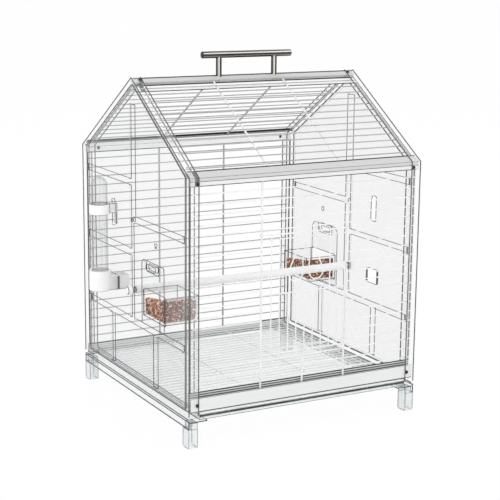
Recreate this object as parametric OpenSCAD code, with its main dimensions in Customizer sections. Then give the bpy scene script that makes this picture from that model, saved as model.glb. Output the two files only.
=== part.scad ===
// Small bird travel carrier: a house-shaped wire cabin between two clear gable frames.
// Millimetres. X runs along the ridge, the door is in the -Y wall, +Z is up.
// The origin is under the middle of the carrier, on the ground its four feet stand on.

/* [Cabin] */
// Overall width along the ridge
cabin_w = 390; // [340:1:460]
// Overall depth from the front wall to the back wall
cabin_d = 390; // [350:1:450]
// Height of the walls up to the eaves
eave_h = 350; // [330:1:420]
// Rise of the roof from the eaves to the ridge
roof_rise = 123; // [100:1:150]
// Height of the feet and side runners under the cabin
ground_gap = 43; // [36:1:60]

/* [Gable frames] */
// Depth of each clear frame along the ridge
frame_depth = 17; // [15:0.5:24]
// Width of the upright members
post_w = 20.2; // [19:0.1:26]
// Height of the bottom member
sill_h = 16.3; // [15:0.1:20]
// Width of the sloping members, square to the slope
slope_w = 13.5; // [13:0.1:18]
// Thickness of the outer flange that the panel lies behind
flange_t = 3; // [2:0.1:4]
// How far the flange laps over the edge of the panel
flange_lap = 4; // [3:0.1:4.2]
// Clear plastic left outside a rail's end
rail_skin = 1; // [0.8:0.1:1.6]
// Drop of the flat web that fills the corner under the apex
apex_web = 4; // [2:0.5:8]
// Bevel of the two bottom corners
toe_bevel = 5; // [2:0.5:8]
// How far the rail and wire ends stop short of the outer face
rail_end = 4; // [3:0.5:6]

/* [Gable panels] */
// Thickness of the clear sheet
sheet_t = 2.5; // [2:0.1:4]
// Width of the ribs
rib_w = 10.8; // [8:0.1:14]
// Width of the rib at the middle
centre_rib_w = 16; // [14:0.1:20]
// Height of the top of the middle rib
centre_rib_top = 433; // [380:1:440]
// Height of the underside of the rib that runs right across
low_rib_z = 95.5; // [85:0.5:100]
// Height of the underside of the front rib
front_rib_z = 254; // [245:1:300]
// Height of the underside of the lower back rib
back_rib_z = 203; // [196:1:220]
// Height of the underside of the upper back rib
high_rib_z = 310; // [290:1:330]
// Distance of the short uprights from the middle
leg_rib_off = 80; // [60:1:110]
// Radius of the two small round holes
vent_r = 3; // [2:0.1:5]
// Height of the small hole in the middle rib
vent_high_z = 258.6; // [235:0.2:300]
// Height of the small hole beside the middle rib
vent_low_z = 232.5; // [225:0.5:240]
// Distance of that hole from the middle
vent_low_off = 77; // [50:1:110]

/* [Wire panels] */
// Radius of the thin wires
wire_r = 0.9; // [0.7:0.05:1.1]
// Radius of the thick cross wires
cross_r = 1.5; // [1.2:0.05:1.8]
// Distance between the thin wires of the walls
wall_pitch = 14.85; // [13:0.05:16]
// Height of the lowest thin wire in front
wall_first_z = 43.6; // [42:0.1:48]
// Distance between the thin wires of the roof
roof_pitch = 15; // [13:0.1:17]
// Distance of the first roof wire from the eave, along the slope
roof_first = 26; // [24:0.5:30]
// Distance of the cross wires of the roof and back from the middle
cross_off = 60.5; // [45:0.5:75]

/* [Doorway] */
// Thick wire at the hinge side, from the left face
hinge_x = 119; // [105:1:130]
// Distance from there to the thick wire at the latch side
doorway_w = 143; // [130:1:155]
// Number of thin wires under the doorway
sill_rows = 4; // [3:1:5]
// Number of thin wire spaces in the height of the doorway
door_rows = 11; // [9:1:12]

/* [Door] */
// Radius of the cross rails
door_rail_r = 1.1; // [1:0.05:1.3]
// Radius of the hinge rings' wire
ring_r = 1; // [0.8:0.05:1.05]
// Running clearance of the hinge rings on the wire
ring_fit = 0.1; // [0.05:0.01:0.1]
// Distance between the upright wires
door_pitch = 14.15; // [12:0.05:15]
// How far the rails reach below and above the doorway's wires
door_lap = 7; // [5.5:0.1:8]
// Height of the middle rail over the bottom rail
mid_rail_up = 89; // [75:0.5:92]
// Distance of the lower right stile from the latch side wire
stile_in = 4; // [3.5:0.1:6]
// Radius at which the latch hook turns
hook_reach = 8.6; // [8.4:0.1:10]
// Half width of the outer bends of the heart wire
heart_half = 29.5; // [24:0.5:31]
// Height of the bottom of the heart wire over the middle rail
heart_up = 17; // [12:0.5:24]
// Height of the heart wire
heart_h = 56; // [48:0.5:60]
// Half the distance between its inner sides
heart_inner = 5.3; // [4:0.1:8]
// Distance of its tip over the bends of the inner sides
heart_knee = 20; // [14:0.5:26]
// Distance of the shoulders under the tip
heart_stem = 6; // [3:0.5:10]
// Distance of the heart wire's middle beside the middle bar
heart_off = 1.5; // [0:0.1:3]
// Height of the stile's lower bend over the middle rail
jog_up = 37; // [25:0.5:60]
// Height of the slanted stretch of the stile
jog_rise = 5; // [4:0.5:8]

/* [Rails] */
// Wall thickness of the metal rails
rail_t = 1; // [0.8:0.1:1.3]
// Length of the outer ridge flanges down each slope
ridge_flange = 13; // [10:0.5:20]
// Length of the inner ridge flanges down each slope
ridge_inner = 27; // [22:0.5:34]
// Length of the eave flanges up the slope
eave_flange = 16.6; // [12:0.1:20]
// Drop of the outer eave flange
eave_drop = 12; // [11:0.5:16]
// Underside of the raised front base rail
front_rail_z = 10.5; // [10.5:0.1:13]
// Height of the outer wall of the front base rail
base_outer_h = 20.5; // [16:0.5:24]
// Height of the inner wall of the front base rail
base_inner_h = 27.5; // [24:0.5:30]
// Depth of the base rails front to back
base_deep = 9.5; // [8.5:0.1:11]
// Underside of the back base rail
back_rail_z = 1; // [0.5:0.1:3]
// Height of the back base rail
back_rail_h = 16.4; // [14:0.2:20]

/* [Handle] */
// Distance between the two posts
post_pitch = 96.5; // [80:0.5:128]
// Diameter of the posts
post_dia = 9; // [8:0.1:12]
// Diameter of the bar
bar_dia = 10.5; // [10:0.1:14]
// Length of the bar
bar_len = 155; // [145:1:190]
// Height of the bar's axis over the ridge
bar_up = 29.2; // [25:0.1:45]

/* [Base] */
// Height of the tray
tray_h = 8; // [7.6:0.1:8]
// Thickness of the tray's floor
tray_floor = 1.6; // [1.2:0.1:2.2]
// Thickness of the tray's rim
tray_wall = 2; // [1.6:0.1:2.6]
// Radius of the thin wires of the floor grate
grate_r = 0.8; // [0.6:0.05:0.85]
// Radius of its long wires
grate_cross_r = 0.9; // [0.7:0.05:0.9]
// Radius of its front and back wires
grate_frame_r = 1.4; // [1:0.05:1.45]
// Distance between the thin wires of the grate
grate_pitch = 13; // [10:0.5:16]
// Height of the side runners
runner_h = 14; // [12:0.5:18]
// Width of the runner's ledge under the tray
ledge_w = 30; // [26:1:40]
// Length of each foot front to back
foot_len = 20; // [16:0.5:30]
// Width of each foot
foot_w = 15; // [12:0.5:18]

/* [Perch] */
// Diameter of the perch
perch_dia = 13; // [11:0.5:16]
// Height of the perch's axis
perch_z = 150; // [138:1:162]
// Diameter of the threaded end
perch_end_dia = 6; // [5:0.1:8]
// Diameter of the nuts
nut_dia = 14; // [12:0.5:15.5]
// Length of the nuts
nut_len = 8; // [6:0.5:10]

/* [Feeders] */
// Width of the front plate
plate_w = 79; // [76:0.1:80]
// Height of the front plate
plate_h = 100; // [90:0.5:105]
// Thickness of the front plate
plate_t = 2.4; // [1.8:0.1:2.6]
// Width of the cup
cup_w = 73.5; // [66:0.5:74.5]
// Height of the cup's floor over the bottom of the plate
cup_up = 12; // [10:0.5:16]
// Height of the cup
cup_h = 41; // [36:0.5:44]
// How far the cup reaches in from the outer face
cup_reach = 59; // [45:0.5:64]
// Wall thickness of the cup
cup_wall = 1.6; // [1.4:0.1:2.4]
// Distance of the feeder's middle in front of the perch
feeder_off = 73; // [66:0.5:80]
// Height of the slotted pull at the top of the plate
pull_h = 17; // [14:0.5:20]
// Width of the slot in the pull
slot_w = 32; // [26:0.5:36]
// Depth of the seed in the cup
seed_h = 35.5; // [24:0.5:36]

/* [Drinker] */
// Outer diameter of the bottle tube
tube_dia = 26; // [24:0.5:28]
// Wall thickness of the tube
tube_wall = 1.5; // [1.2:0.1:2.2]
// Height of the bottle over its mouth
tube_len = 163; // [140:1:180]
// Height of the mouth
tube_z = 152; // [150:0.5:154]
// Diameter of the white base
base_dia = 34; // [32:0.5:38]
// Height of the underside of the base
base_z = 135; // [130:0.5:136]
// Height of the base
base_h = 33; // [30:0.5:40]
// Distance of the bottle's axis outside the gable
bottle_out = 20; // [19.5:0.5:26]
// Distance of the bottle's axis behind the perch
bottle_off = 77.5; // [70:0.5:84]
// Width of the snout
snout_w = 26; // [22:0.5:27]
// Height of the snout
snout_h = 21; // [18:0.5:22]
// How far the snout reaches into the cabin
snout_in = 24; // [16:0.5:30]
// Wall thickness of the snout and base
snout_wall = 1.8; // [1.4:0.1:2.4]
// Height of the lower edge of the clip
clip_z = 256; // [250:0.5:262]
// Height of the clip's band
clip_h = 17; // [12:0.5:20]
// Thickness of the clip's band
clip_t = 2.4; // [1.8:0.1:3]
// Width of the clip's plug
plug_w = 11; // [8:0.5:12]
// How far the plug's tail hangs below the clip
tail_h = 16.5; // [12:0.5:18]

/* [Hidden] */

// clearances
fit = 0.25;
gap = 0.3;
weld = 0.3;
bite = 0.5;
through = 1;
run_fit = 0.05;

// facets
wire_fn = 24;
round_fn = 64;
corner_steps = 5;

// roof geometry
half_d = cabin_d / 2;
slope = roof_rise / half_d;
pitch_deg = atan(slope);
ca = cos(pitch_deg);
sa = sin(pitch_deg);
slope_len = half_d / ca;
ridge_z = eave_h + roof_rise;

// depth of the rails and wires under the outer surface
rail_in = rail_skin + fit;
wire_in = rail_in + rail_t + fit + wire_r;
cross_in = wire_in + wire_r + cross_r - weld;
inner_in = cross_in + cross_r + gap;
inner_end = inner_in + rail_t;
wire_end = rail_end + 4;

// runs of the rails and wires
rail_run = cabin_w - 2 * rail_end;
stand_z = front_rail_z + rail_t + gap;
hang_z = eave_h - eave_drop + 5;
roof_cross_low = 9;
roof_cross_top = 11;
roof_top_clear = 10;
roof_rows = floor((slope_len - ridge_flange - roof_top_clear - roof_first) / roof_pitch) + 1;

// frame
body_post = post_w - flange_lap;
body_sill = sill_h - flange_lap;
body_slope = slope_w - flange_lap;
sheet_in = flange_t + sheet_t;

// doorway
latch_x = hinge_x + doorway_w;
sill_top_z = wall_first_z + (sill_rows - 1) * wall_pitch;
door_top_z = sill_top_z + door_rows * wall_pitch;
wall_rows = floor((eave_h - eave_drop - 6 - wall_first_z) / wall_pitch) + 1;

// door
door_rail_in = cross_in - cross_r - ring_fit - ring_r - (door_rail_r - ring_r) / 2;
door_wire_in = wire_in - wire_r - gap - wire_r;
bottom_rail_z = sill_top_z - door_lap;
mid_rail_z = bottom_rail_z + mid_rail_up;
top_rail_z = door_top_z + door_lap;
stile_x = latch_x - stile_in;
stile_top_x = latch_x - 0.5;
bar_count = 9;
bend_more = 0.15;
arc_more = 0.05;
heart_low = mid_rail_z + heart_up;
heart_tip_z = heart_low + heart_h;
short_first = 2;
short_last = 6;
first_bar_x = (hinge_x + stile_x + 2.5) / 2 - (bar_count - 1) / 2 * door_pitch;
heart_x = first_bar_x + (bar_count - 1) / 2 * door_pitch + heart_off;
jog_z = mid_rail_z + jog_up;
jog_top_z = jog_z + jog_rise;
pin_ball = wire_r + 0.2;
sleeve_wall = 0.95;
sleeve_top_z = bottom_rail_z - door_rail_r - fit;
sleeve_z = sill_top_z - wall_pitch + wire_r + gap;
pin_end_z = sleeve_z - 0.1 - pin_ball;
hook_z = sleeve_z + wire_r + gap;
hook_free = 140;
hook_sweep = 50;
ring_major = cross_r + ring_fit + ring_r;
wire_over = 1;
rail_over = 1.2;
rail_x0 = hinge_x - 0.6;

// base
bead = 0.5;
bead_w = 3;
bead_first = 2;
bead_count = 4;
tray_top = tray_h - 1.2;
tray_bottom = -1.2;
tray_x = frame_depth + 0.6;
ledge_top = tray_bottom - gap;
ledge_t = 3;
skirt_t = 3;
back_stop = base_deep + rail_in + bead + gap;
tray_front = 0.5;
tray_back = cabin_d - back_stop;
grate_z = tray_top + gap + grate_r;
grate_cross_z = grate_z + grate_r + grate_cross_r - weld;
grate_frame_z = tray_top + gap + grate_frame_r;
grate_x = tray_x + 0.6;
grate_front = tray_front + grate_frame_r;
grate_back = tray_back - 0.6 - grate_frame_r;
grate_count = floor((grate_back - grate_front - 6) / grate_pitch);

// perch
perch_hole_r = perch_end_dia / 2 + 0.2;
perch_end_r = perch_end_dia / 2;

// feeders
plate_z = low_rib_z + rib_w + 0.4;
plate_x = flange_t - 0.2 - plate_t;
feeder_y = half_d - feeder_off;
cup_z = plate_z + cup_up;
cup_corner = 11;
plate_corner = 10;
opening_gap = 0.5;
pull_out = 3;
pull_side = 6;
slot_h = 8;
seed_slump = 9;

// drinker
bottle_y = half_d + bottle_off;
tube_r = tube_dia / 2;
dome_z = tube_z + tube_len - tube_r;
snout_z = base_z + 2.4;
hole_gap = 0.9;
clip_in = sheet_in + 3;
slot_low = clip_z - tail_h - 1.5;
slot_top = clip_z + clip_h + 5;
clip_fit = 0.2;
clip_gap = 0.4;
plug_bite = 1.5;
trough_sill = 4;

// middle of the whole carrier, from the drinker's base to the right-hand nut
middle_x = (cabin_w + nut_len - bottle_out - base_dia / 2) / 2;

// handle
post_r = post_dia / 2;
bar_r = bar_dia / 2;
bar_z = ridge_z + bar_up;
mid_x = cabin_w / 2;
spigot_r = 2.5;
spigot_up = 2;
screw_r = 2;
screw_up = 12;
screw_head_r = 3.5;
screw_head_h = 2.4;
ridge_bore = 20;

// small screws
pin_r = 1.4;
pin_head_r = 2.7;
pin_head_h = 1.2;
screw_x = frame_depth - 3;
eave_screw_drop = 9;
eave_screw_z = eave_h - eave_screw_drop;
front_screw_z = front_rail_z + base_outer_h / 2;
back_screw_z = back_rail_z + back_rail_h / 2 - 0.5;
ridge_screw_run = slope_len - ridge_flange / 2;

// colours
clear_c = [0.88, 0.9, 0.92, 0.5];
smoke_c = [0.7, 0.74, 0.78, 0.5];
wire_c = [0.93, 0.93, 0.92];
rail_c = [0.8, 0.8, 0.8];
steel_c = [0.52, 0.48, 0.44];
white_c = [0.95, 0.95, 0.94];
perch_c = [0.85, 0.85, 0.85];
seed_c = [0.55, 0.24, 0.13];

// height of a line at the given depth under the roof's surface
function roof_z(y, deep) = eave_h + min(y, cabin_d - y) * slope - deep / ca;

// a point on the front slope: distance up from the eave, depth under the surface
function on_slope(run, deep) = [run * ca + deep * sa, eave_h + run * sa - deep * ca];

// five-sided outline set in from the posts, the bottom and the slopes
function house(post, low, deep) = [
    [post, low], [cabin_d - post, low], [cabin_d - post, roof_z(post, deep)],
    [half_d, roof_z(half_d, deep)], [post, roof_z(post, deep)]
];

// points of a quarter turn
function quarter(cx, cy, r, a0) = [
    for (i = [0:corner_steps]) let (a = a0 + i * 90 / corner_steps) [cx + r * cos(a), cy + r * sin(a)]
];

// rectangle whose lower and upper corners are rounded
function soft_box(x0, y0, x1, y1, low_r, top_r) = concat(
    quarter(x0 + low_r, y0 + low_r, low_r, 180),
    quarter(x1 - low_r, y0 + low_r, low_r, 270),
    quarter(x1 - top_r, y1 - top_r, top_r, 0),
    quarter(x0 + top_r, y1 - top_r, top_r, 90)
);

// mirror image of a side outline, front to back
function back_of(pts) = [for (p = pts) [cabin_d - p[0], p[1]]];

// places the cabin's own corner frame over the ground, with the whole carrier's middle over the origin
module placed() {
    translate([-middle_x, -cabin_d / 2, ground_gap]) children();
}

// side outline (Y, Z) drawn out along X
module along_x(x0, len) {
    translate([x0, 0, 0]) rotate([90, 0, 90]) linear_extrude(len) children();
}

// front outline (X, Z) drawn out along Y
module along_y(y0, len) {
    translate([0, y0 + len, 0]) rotate([90, 0, 0]) linear_extrude(len) children();
}

// round bars
module bar_x(x0, x1, y, z, r) {
    translate([x0, y, z]) rotate([0, 90, 0]) cylinder(h = x1 - x0, r = r, $fn = wire_fn);
}

module bar_y(y0, y1, x, z, r) {
    translate([x, y1, z]) rotate([90, 0, 0]) cylinder(h = y1 - y0, r = r, $fn = wire_fn);
}

module bar_up(z0, z1, x, y, r) {
    translate([x, y, z0]) cylinder(h = z1 - z0, r = r, $fn = wire_fn);
}

// the right-hand copy of a piece, front kept in front
module to_right() {
    translate([cabin_w, 0, 0]) mirror([1, 0, 0]) children();
}

// the same piece turned half round
module turned() {
    translate([cabin_w, cabin_d, 0]) rotate([0, 0, 180]) children();
}

// the back copy of a piece
module to_back() {
    translate([0, cabin_d, 0]) mirror([0, 1, 0]) children();
}

// outline of the gable with bevelled toes
module gable_outline() {
    polygon([
        [toe_bevel, 0], [cabin_d - toe_bevel, 0], [cabin_d, toe_bevel], [cabin_d, eave_h],
        [half_d, ridge_z], [0, eave_h], [0, toe_bevel]
    ]);
}

// window of the outer flange, flat under the apex
module flange_window() {
    top = roof_z(half_d, slope_w) - apex_web;
    reach = apex_web / slope;
    polygon([
        [post_w, sill_h], [cabin_d - post_w, sill_h],
        [cabin_d - post_w, roof_z(post_w, slope_w)], [half_d + reach, top],
        [half_d - reach, top], [post_w, roof_z(post_w, slope_w)]
    ]);
}

// rail sections, each grown by g for its pocket
module eave_outer(g) {
    a = rail_in - g;
    b = rail_in + rail_t + g;
    low = eave_h - eave_drop - g;
    polygon([
        [a, low], [b, low], [b, roof_z(b, b)], on_slope(eave_flange + g, b),
        on_slope(eave_flange + g, a), [a, roof_z(a, a)]
    ]);
}

module eave_inner(g) {
    a = inner_in - g;
    b = inner_end + g;
    low = eave_h - eave_drop - 2 - g;
    polygon([
        [a, low], [b, low], [b, roof_z(b, b)], on_slope(eave_flange + 2.4 + g, b),
        on_slope(eave_flange + 2.4 + g, a), [a, roof_z(a, a)]
    ]);
}

module eave_web(g) {
    a = rail_in + rail_t / 2;
    b = inner_in + rail_t / 2;
    t = 0.7 + g;
    polygon([
        [a, roof_z(a, a) - t], [b, roof_z(b, b) - t], [b, roof_z(b, b) + t * 0.6], [a, roof_z(a, a) + t * 0.6]
    ]);
}

module ridge_vee(near, far, run) {
    left_far = on_slope(slope_len - run, far);
    left_near = on_slope(slope_len - run, near);
    polygon([
        left_near, [half_d, roof_z(half_d, near)], [cabin_d - left_near[0], left_near[1]],
        [cabin_d - left_far[0], left_far[1]], [half_d, roof_z(half_d, far)], left_far
    ]);
}

module ridge_web(g) {
    t = 0.75 + g;
    top = roof_z(half_d, rail_in + rail_t / 2);
    low = roof_z(half_d, inner_in + rail_t / 2);
    polygon([[half_d - t, low], [half_d + t, low], [half_d + t, top], [half_d - t, top]]);
}

// small screw pointing inwards along +Y from the front face
module pin_screw(x, z) {
    translate([x, 0, z]) rotate([-90, 0, 0]) {
        translate([0, 0, -pin_head_h]) cylinder(h = pin_head_h, r = pin_head_r, $fn = round_fn);
        translate([0, 0, -0.2]) cylinder(h = inner_in - 0.2, r = pin_r, $fn = round_fn);
    }
}

module pin_bore(x, z) {
    translate([x, -through, z]) rotate([-90, 0, 0])
        cylinder(h = inner_in + through, r = pin_r + run_fit, $fn = round_fn);
}

module on_front_slope(run) {
    p = on_slope(run, 0);
    translate([0, p[0], p[1]]) rotate([pitch_deg - 90, 0, 0]) children();
}

// screws of one gable
module gable_screws() {
    pin_screw(screw_x, eave_screw_z);
    pin_screw(screw_x, front_screw_z);
    to_back() pin_screw(screw_x, eave_screw_z);
    to_back() pin_screw(screw_x, back_screw_z);
    on_front_slope(ridge_screw_run) pin_screw(screw_x, 0);
}

module gable_bores() {
    pin_bore(screw_x, eave_screw_z);
    pin_bore(screw_x, front_screw_z);
    to_back() pin_bore(screw_x, eave_screw_z);
    to_back() pin_bore(screw_x, back_screw_z);
    on_front_slope(ridge_screw_run) pin_bore(screw_x, 0);
}

// grooves and pockets that take the wire ends and the rail ends
module frame_pockets() {
    x0 = rail_end - fit;
    deep = frame_depth - x0 + through;
    wire_x0 = wire_end - 1;
    wire_deep = frame_depth - wire_x0 + through;
    near = wire_in - wire_r - fit;
    far = cross_in + cross_r + fit;
    groove_top = eave_h - eave_drop + 4;
    rail_near = rail_in - fit;
    rail_far = rail_in + base_deep + bead + fit;
    wall_groove = [[near, body_sill], [far, body_sill], [far, groove_top], [near, groove_top]];
    roof_groove = [
        on_slope(8, near), on_slope(8, far), on_slope(slope_len - 6, far), on_slope(slope_len - 6, near)
    ];
    for (pts = [wall_groove, roof_groove]) {
        along_x(wire_x0, wire_deep) polygon(pts);
        along_x(wire_x0, wire_deep) polygon(back_of(pts));
    }
    along_x(x0, deep) eave_outer(fit);
    along_x(x0, deep) eave_inner(fit);
    along_x(x0, deep) eave_web(fit);
    to_back() along_x(x0, deep) eave_outer(fit);
    to_back() along_x(x0, deep) eave_inner(fit);
    to_back() along_x(x0, deep) eave_web(fit);
    along_x(x0, deep) ridge_vee(rail_in - fit, rail_in + rail_t + fit, ridge_flange + fit);
    along_x(x0, deep) ridge_vee(inner_in - fit, inner_end + fit, ridge_inner + fit);
    along_x(x0, deep) ridge_web(fit);
    along_x(x0, deep) polygon([
        [rail_near, front_rail_z - fit], [rail_far, front_rail_z - fit],
        [rail_far, front_rail_z + base_inner_h + fit], [rail_near, front_rail_z + base_inner_h + fit]
    ]);
    along_x(x0, deep) polygon(back_of([
        [rail_near, back_rail_z - fit], [rail_far, back_rail_z - fit],
        [rail_far, back_rail_z + back_rail_h + fit], [rail_near, back_rail_z + back_rail_h + fit]
    ]));
}

module gable_frame() {
    difference() {
        along_x(0, frame_depth) gable_outline();
        along_x(-through, flange_t + 2 * through) flange_window();
        along_x(flange_t, frame_depth) polygon(house(body_post, body_sill, body_slope));
        frame_pockets();
        gable_bores();
    }
}

module gable_frame_left() {
    color(clear_c) placed() gable_frame();
}

module gable_frame_right() {
    color(clear_c) placed() to_right() gable_frame();
}

// rib standing out from the sheet to the outer face
module rib(y0, y1, z0, z1) {
    translate([0, y0, z0]) cube([flange_t + bite, y1 - y0, z1 - z0]);
}

module gable_panel() {
    edge = post_w + gap;
    low = sill_h + gap;
    back = cabin_d - edge;
    difference() {
        union() {
            along_x(flange_t, sheet_t) polygon(house(body_post + gap, body_sill + gap, body_slope + gap));
            rib(half_d - centre_rib_w / 2, half_d + centre_rib_w / 2, low_rib_z + 2, centre_rib_top);
            rib(edge, back, low_rib_z, low_rib_z + rib_w);
            rib(edge, half_d - 2, front_rib_z, front_rib_z + rib_w);
            rib(half_d + 2, back, back_rib_z, back_rib_z + rib_w);
            rib(half_d + 2, back, high_rib_z, high_rib_z + rib_w);
            rib(half_d - leg_rib_off - rib_w / 2, half_d - leg_rib_off + rib_w / 2, low, low_rib_z + 2);
            rib(half_d + leg_rib_off - rib_w / 2, half_d + leg_rib_off + rib_w / 2, low, low_rib_z + 2);
        }
        bar_x(-through, sheet_in + through, half_d, perch_z, perch_hole_r);
        bar_x(-through, sheet_in + through, half_d, vent_high_z, vent_r);
        bar_x(-through, sheet_in + through, half_d - vent_low_off, vent_low_z, vent_r);
        along_x(-through, sheet_in + 2 * through) polygon(soft_box(
            feeder_y - cup_w / 2 - opening_gap, cup_z - opening_gap,
            feeder_y + cup_w / 2 + opening_gap, cup_z + cup_h + opening_gap, 1, 1));
        along_x(-through, sheet_in + 2 * through) polygon(soft_box(
            bottle_y - snout_w / 2 - hole_gap, snout_z - hole_gap,
            bottle_y + snout_w / 2 + hole_gap, snout_z + snout_h + hole_gap, 1, 1));
        along_x(-through, sheet_in + 2 * through) polygon(soft_box(
            bottle_y - plug_w / 2 - 1, slot_low,
            bottle_y + plug_w / 2 + 1, slot_top, 1, plug_w / 2));
    }
}

module gable_panel_left() {
    color(clear_c) placed() gable_panel();
}

module gable_panel_right() {
    color(clear_c) placed() turned() gable_panel();
}

// bores for the screws at both ends of a rail
module both_bores() {
    gable_bores();
    to_right() gable_bores();
}

module ridge_rail() {
    color(rail_c) placed() difference() {
        union() {
            along_x(rail_end, rail_run) ridge_vee(rail_in, rail_in + rail_t, ridge_flange);
            along_x(rail_end, rail_run) ridge_vee(inner_in, inner_end, ridge_inner);
            along_x(rail_end, rail_run) ridge_web(0);
        }
        both_bores();
        for (side = [-1, 1]) {
            bar_up(ridge_z - ridge_bore, ridge_z + through, mid_x + side * post_pitch / 2, half_d,
                screw_r + run_fit);
        }
    }
}

module eave_rail() {
    difference() {
        union() {
            along_x(rail_end, rail_run) eave_outer(0);
            along_x(rail_end, rail_run) eave_inner(0);
            along_x(rail_end, rail_run) eave_web(0);
        }
        both_bores();
    }
}

module front_eave_rail() {
    color(rail_c) placed() eave_rail();
}

module back_eave_rail() {
    color(rail_c) placed() to_back() eave_rail();
}

// channel that the upright wires stand in, with beads on its inner wall
module channel(low, outer_h, inner_h) {
    far = rail_in + base_deep;
    step = (inner_h - bead_w) / bead_count;
    polygon(concat(
        [[rail_in, low], [far, low]],
        [for (i = [0:bead_count - 1]) let (z = low + bead_first + i * step) each [
            [far, z], [far + bead, z + bead_w / 3], [far + bead, z + bead_w * 2 / 3], [far, z + bead_w]
        ]],
        [
            [far, low + inner_h], [far - rail_t, low + inner_h], [far - rail_t, low + rail_t],
            [rail_in + rail_t, low + rail_t], [rail_in + rail_t, low + outer_h], [rail_in, low + outer_h]
        ]
    ));
}

module front_base_rail() {
    color(rail_c) placed() difference() {
        along_x(rail_end, rail_run) channel(front_rail_z, base_outer_h, base_inner_h);
        both_bores();
    }
}

module back_base_rail() {
    color(rail_c) placed() difference() {
        to_back() along_x(rail_end, rail_run) channel(back_rail_z, back_rail_h - 2, back_rail_h);
        both_bores();
    }
}

// angle strip under each gable: skirt outside, ledge under the tray
module runner() {
    along_y(0, cabin_d) polygon([
        [0, -runner_h], [skirt_t, -runner_h], [skirt_t, ledge_top - ledge_t],
        [ledge_w, ledge_top - ledge_t], [ledge_w, ledge_top], [skirt_t, ledge_top],
        [skirt_t, 0], [0, 0]
    ]);
}

module runner_left() {
    color(smoke_c) placed() runner();
}

module runner_right() {
    color(smoke_c) placed() to_right() runner();
}

// foot: a block under the skirt with a tongue up behind it
module foot() {
    foot_bevel = 2.5;
    along_x(0, foot_w) polygon(soft_box(0, -ground_gap, foot_len, -runner_h, foot_bevel, 0.5));
    translate([skirt_t + fit, 1, -runner_h - bite])
        cube([foot_w - skirt_t - fit, foot_len - 2, runner_h + bite + ledge_top - ledge_t]);
}

module foot_front_left() {
    color(clear_c) placed() foot();
}

module foot_front_right() {
    color(clear_c) placed() to_right() foot();
}

module foot_back_left() {
    color(clear_c) placed() to_back() foot();
}

module foot_back_right() {
    color(clear_c) placed() to_right() to_back() foot();
}

// thin wires from row a to row b between x0 and x1
module wall_wires(a, b, x0, x1) {
    for (k = [a:b]) {
        bar_x(x0, x1, wire_in, wall_first_z + k * wall_pitch, wire_r);
    }
}

module front_grille_left() {
    color(wire_c) placed() {
        wall_wires(0, wall_rows - 1, wire_end, hinge_x + 0.4);
        bar_up(stand_z, hang_z, hinge_x, cross_in, cross_r);
    }
}

module front_grille_right() {
    color(wire_c) placed() {
        wall_wires(0, wall_rows - 1, latch_x - 0.4, cabin_w - wire_end);
        bar_up(stand_z, hang_z, latch_x, cross_in, cross_r);
    }
}

module front_grille_top() {
    color(wire_c) placed() {
        wall_wires(sill_rows - 1 + door_rows, wall_rows - 1, hinge_x + 0.4 + fit, latch_x - 0.4 - fit);
    }
}

module front_grille_sill() {
    color(wire_c) placed() {
        wall_wires(0, sill_rows - 1, hinge_x + 0.4 + fit, latch_x - 0.4 - fit);
        bar_up(stand_z, sill_top_z + wire_over, heart_x - heart_off, cross_in, cross_r);
    }
}

module back_grille() {
    color(wire_c) placed() to_back() {
        wall_wires(-1, wall_rows - 1, wire_end, cabin_w - wire_end);
        for (side = [-1, 1]) {
            bar_up(back_rail_z + rail_t + gap, hang_z, mid_x + side * cross_off, cross_in, cross_r);
        }
    }
}

module roof_grille() {
    for (k = [0:roof_rows - 1]) {
        p = on_slope(roof_first + k * roof_pitch, wire_in);
        bar_x(wire_end, cabin_w - wire_end, p[0], p[1], wire_r);
    }
    start = on_slope(roof_cross_low, cross_in);
    for (side = [-1, 1]) {
        translate([mid_x + side * cross_off, start[0], start[1]]) rotate([pitch_deg - 90, 0, 0])
            cylinder(h = slope_len - roof_cross_low - roof_cross_top, r = cross_r, $fn = wire_fn);
    }
}

module front_roof_grille() {
    color(wire_c) placed() roof_grille();
}

module back_roof_grille() {
    color(wire_c) placed() to_back() roof_grille();
}

module frame_screws() {
    color(steel_c) placed() {
        gable_screws();
        to_right() gable_screws();
    }
}

module floor_grate() {
    color(wire_c) placed() {
        bar_x(grate_x, cabin_w - grate_x, grate_front, grate_frame_z, grate_frame_r);
        bar_x(grate_x, cabin_w - grate_x, grate_back, grate_frame_z, grate_frame_r);
        for (k = [1:grate_count]) {
            bar_x(grate_x, cabin_w - grate_x, grate_front + k * grate_pitch, grate_z, grate_r);
        }
        for (x = [grate_x + 1, mid_x - cross_off, mid_x + cross_off, cabin_w - grate_x - 1]) {
            bar_y(grate_front, grate_back, x, grate_cross_z, grate_cross_r);
        }
    }
}

module tray() {
    inner_w = cabin_w - 2 * tray_x - 2 * tray_wall;
    color(smoke_c) placed() difference() {
        translate([tray_x, tray_front, tray_bottom])
            cube([cabin_w - 2 * tray_x, tray_back - tray_front, tray_h]);
        translate([tray_x + tray_wall, tray_front + tray_wall, tray_bottom + tray_floor])
            cube([inner_w, tray_back - tray_front - 2 * tray_wall, tray_h]);
    }
}

module hinge_ring(z) {
    translate([hinge_x, cross_in, z]) rotate_extrude($fn = round_fn)
        translate([ring_major, 0]) circle(r = ring_r, $fn = wire_fn);
}

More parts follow.
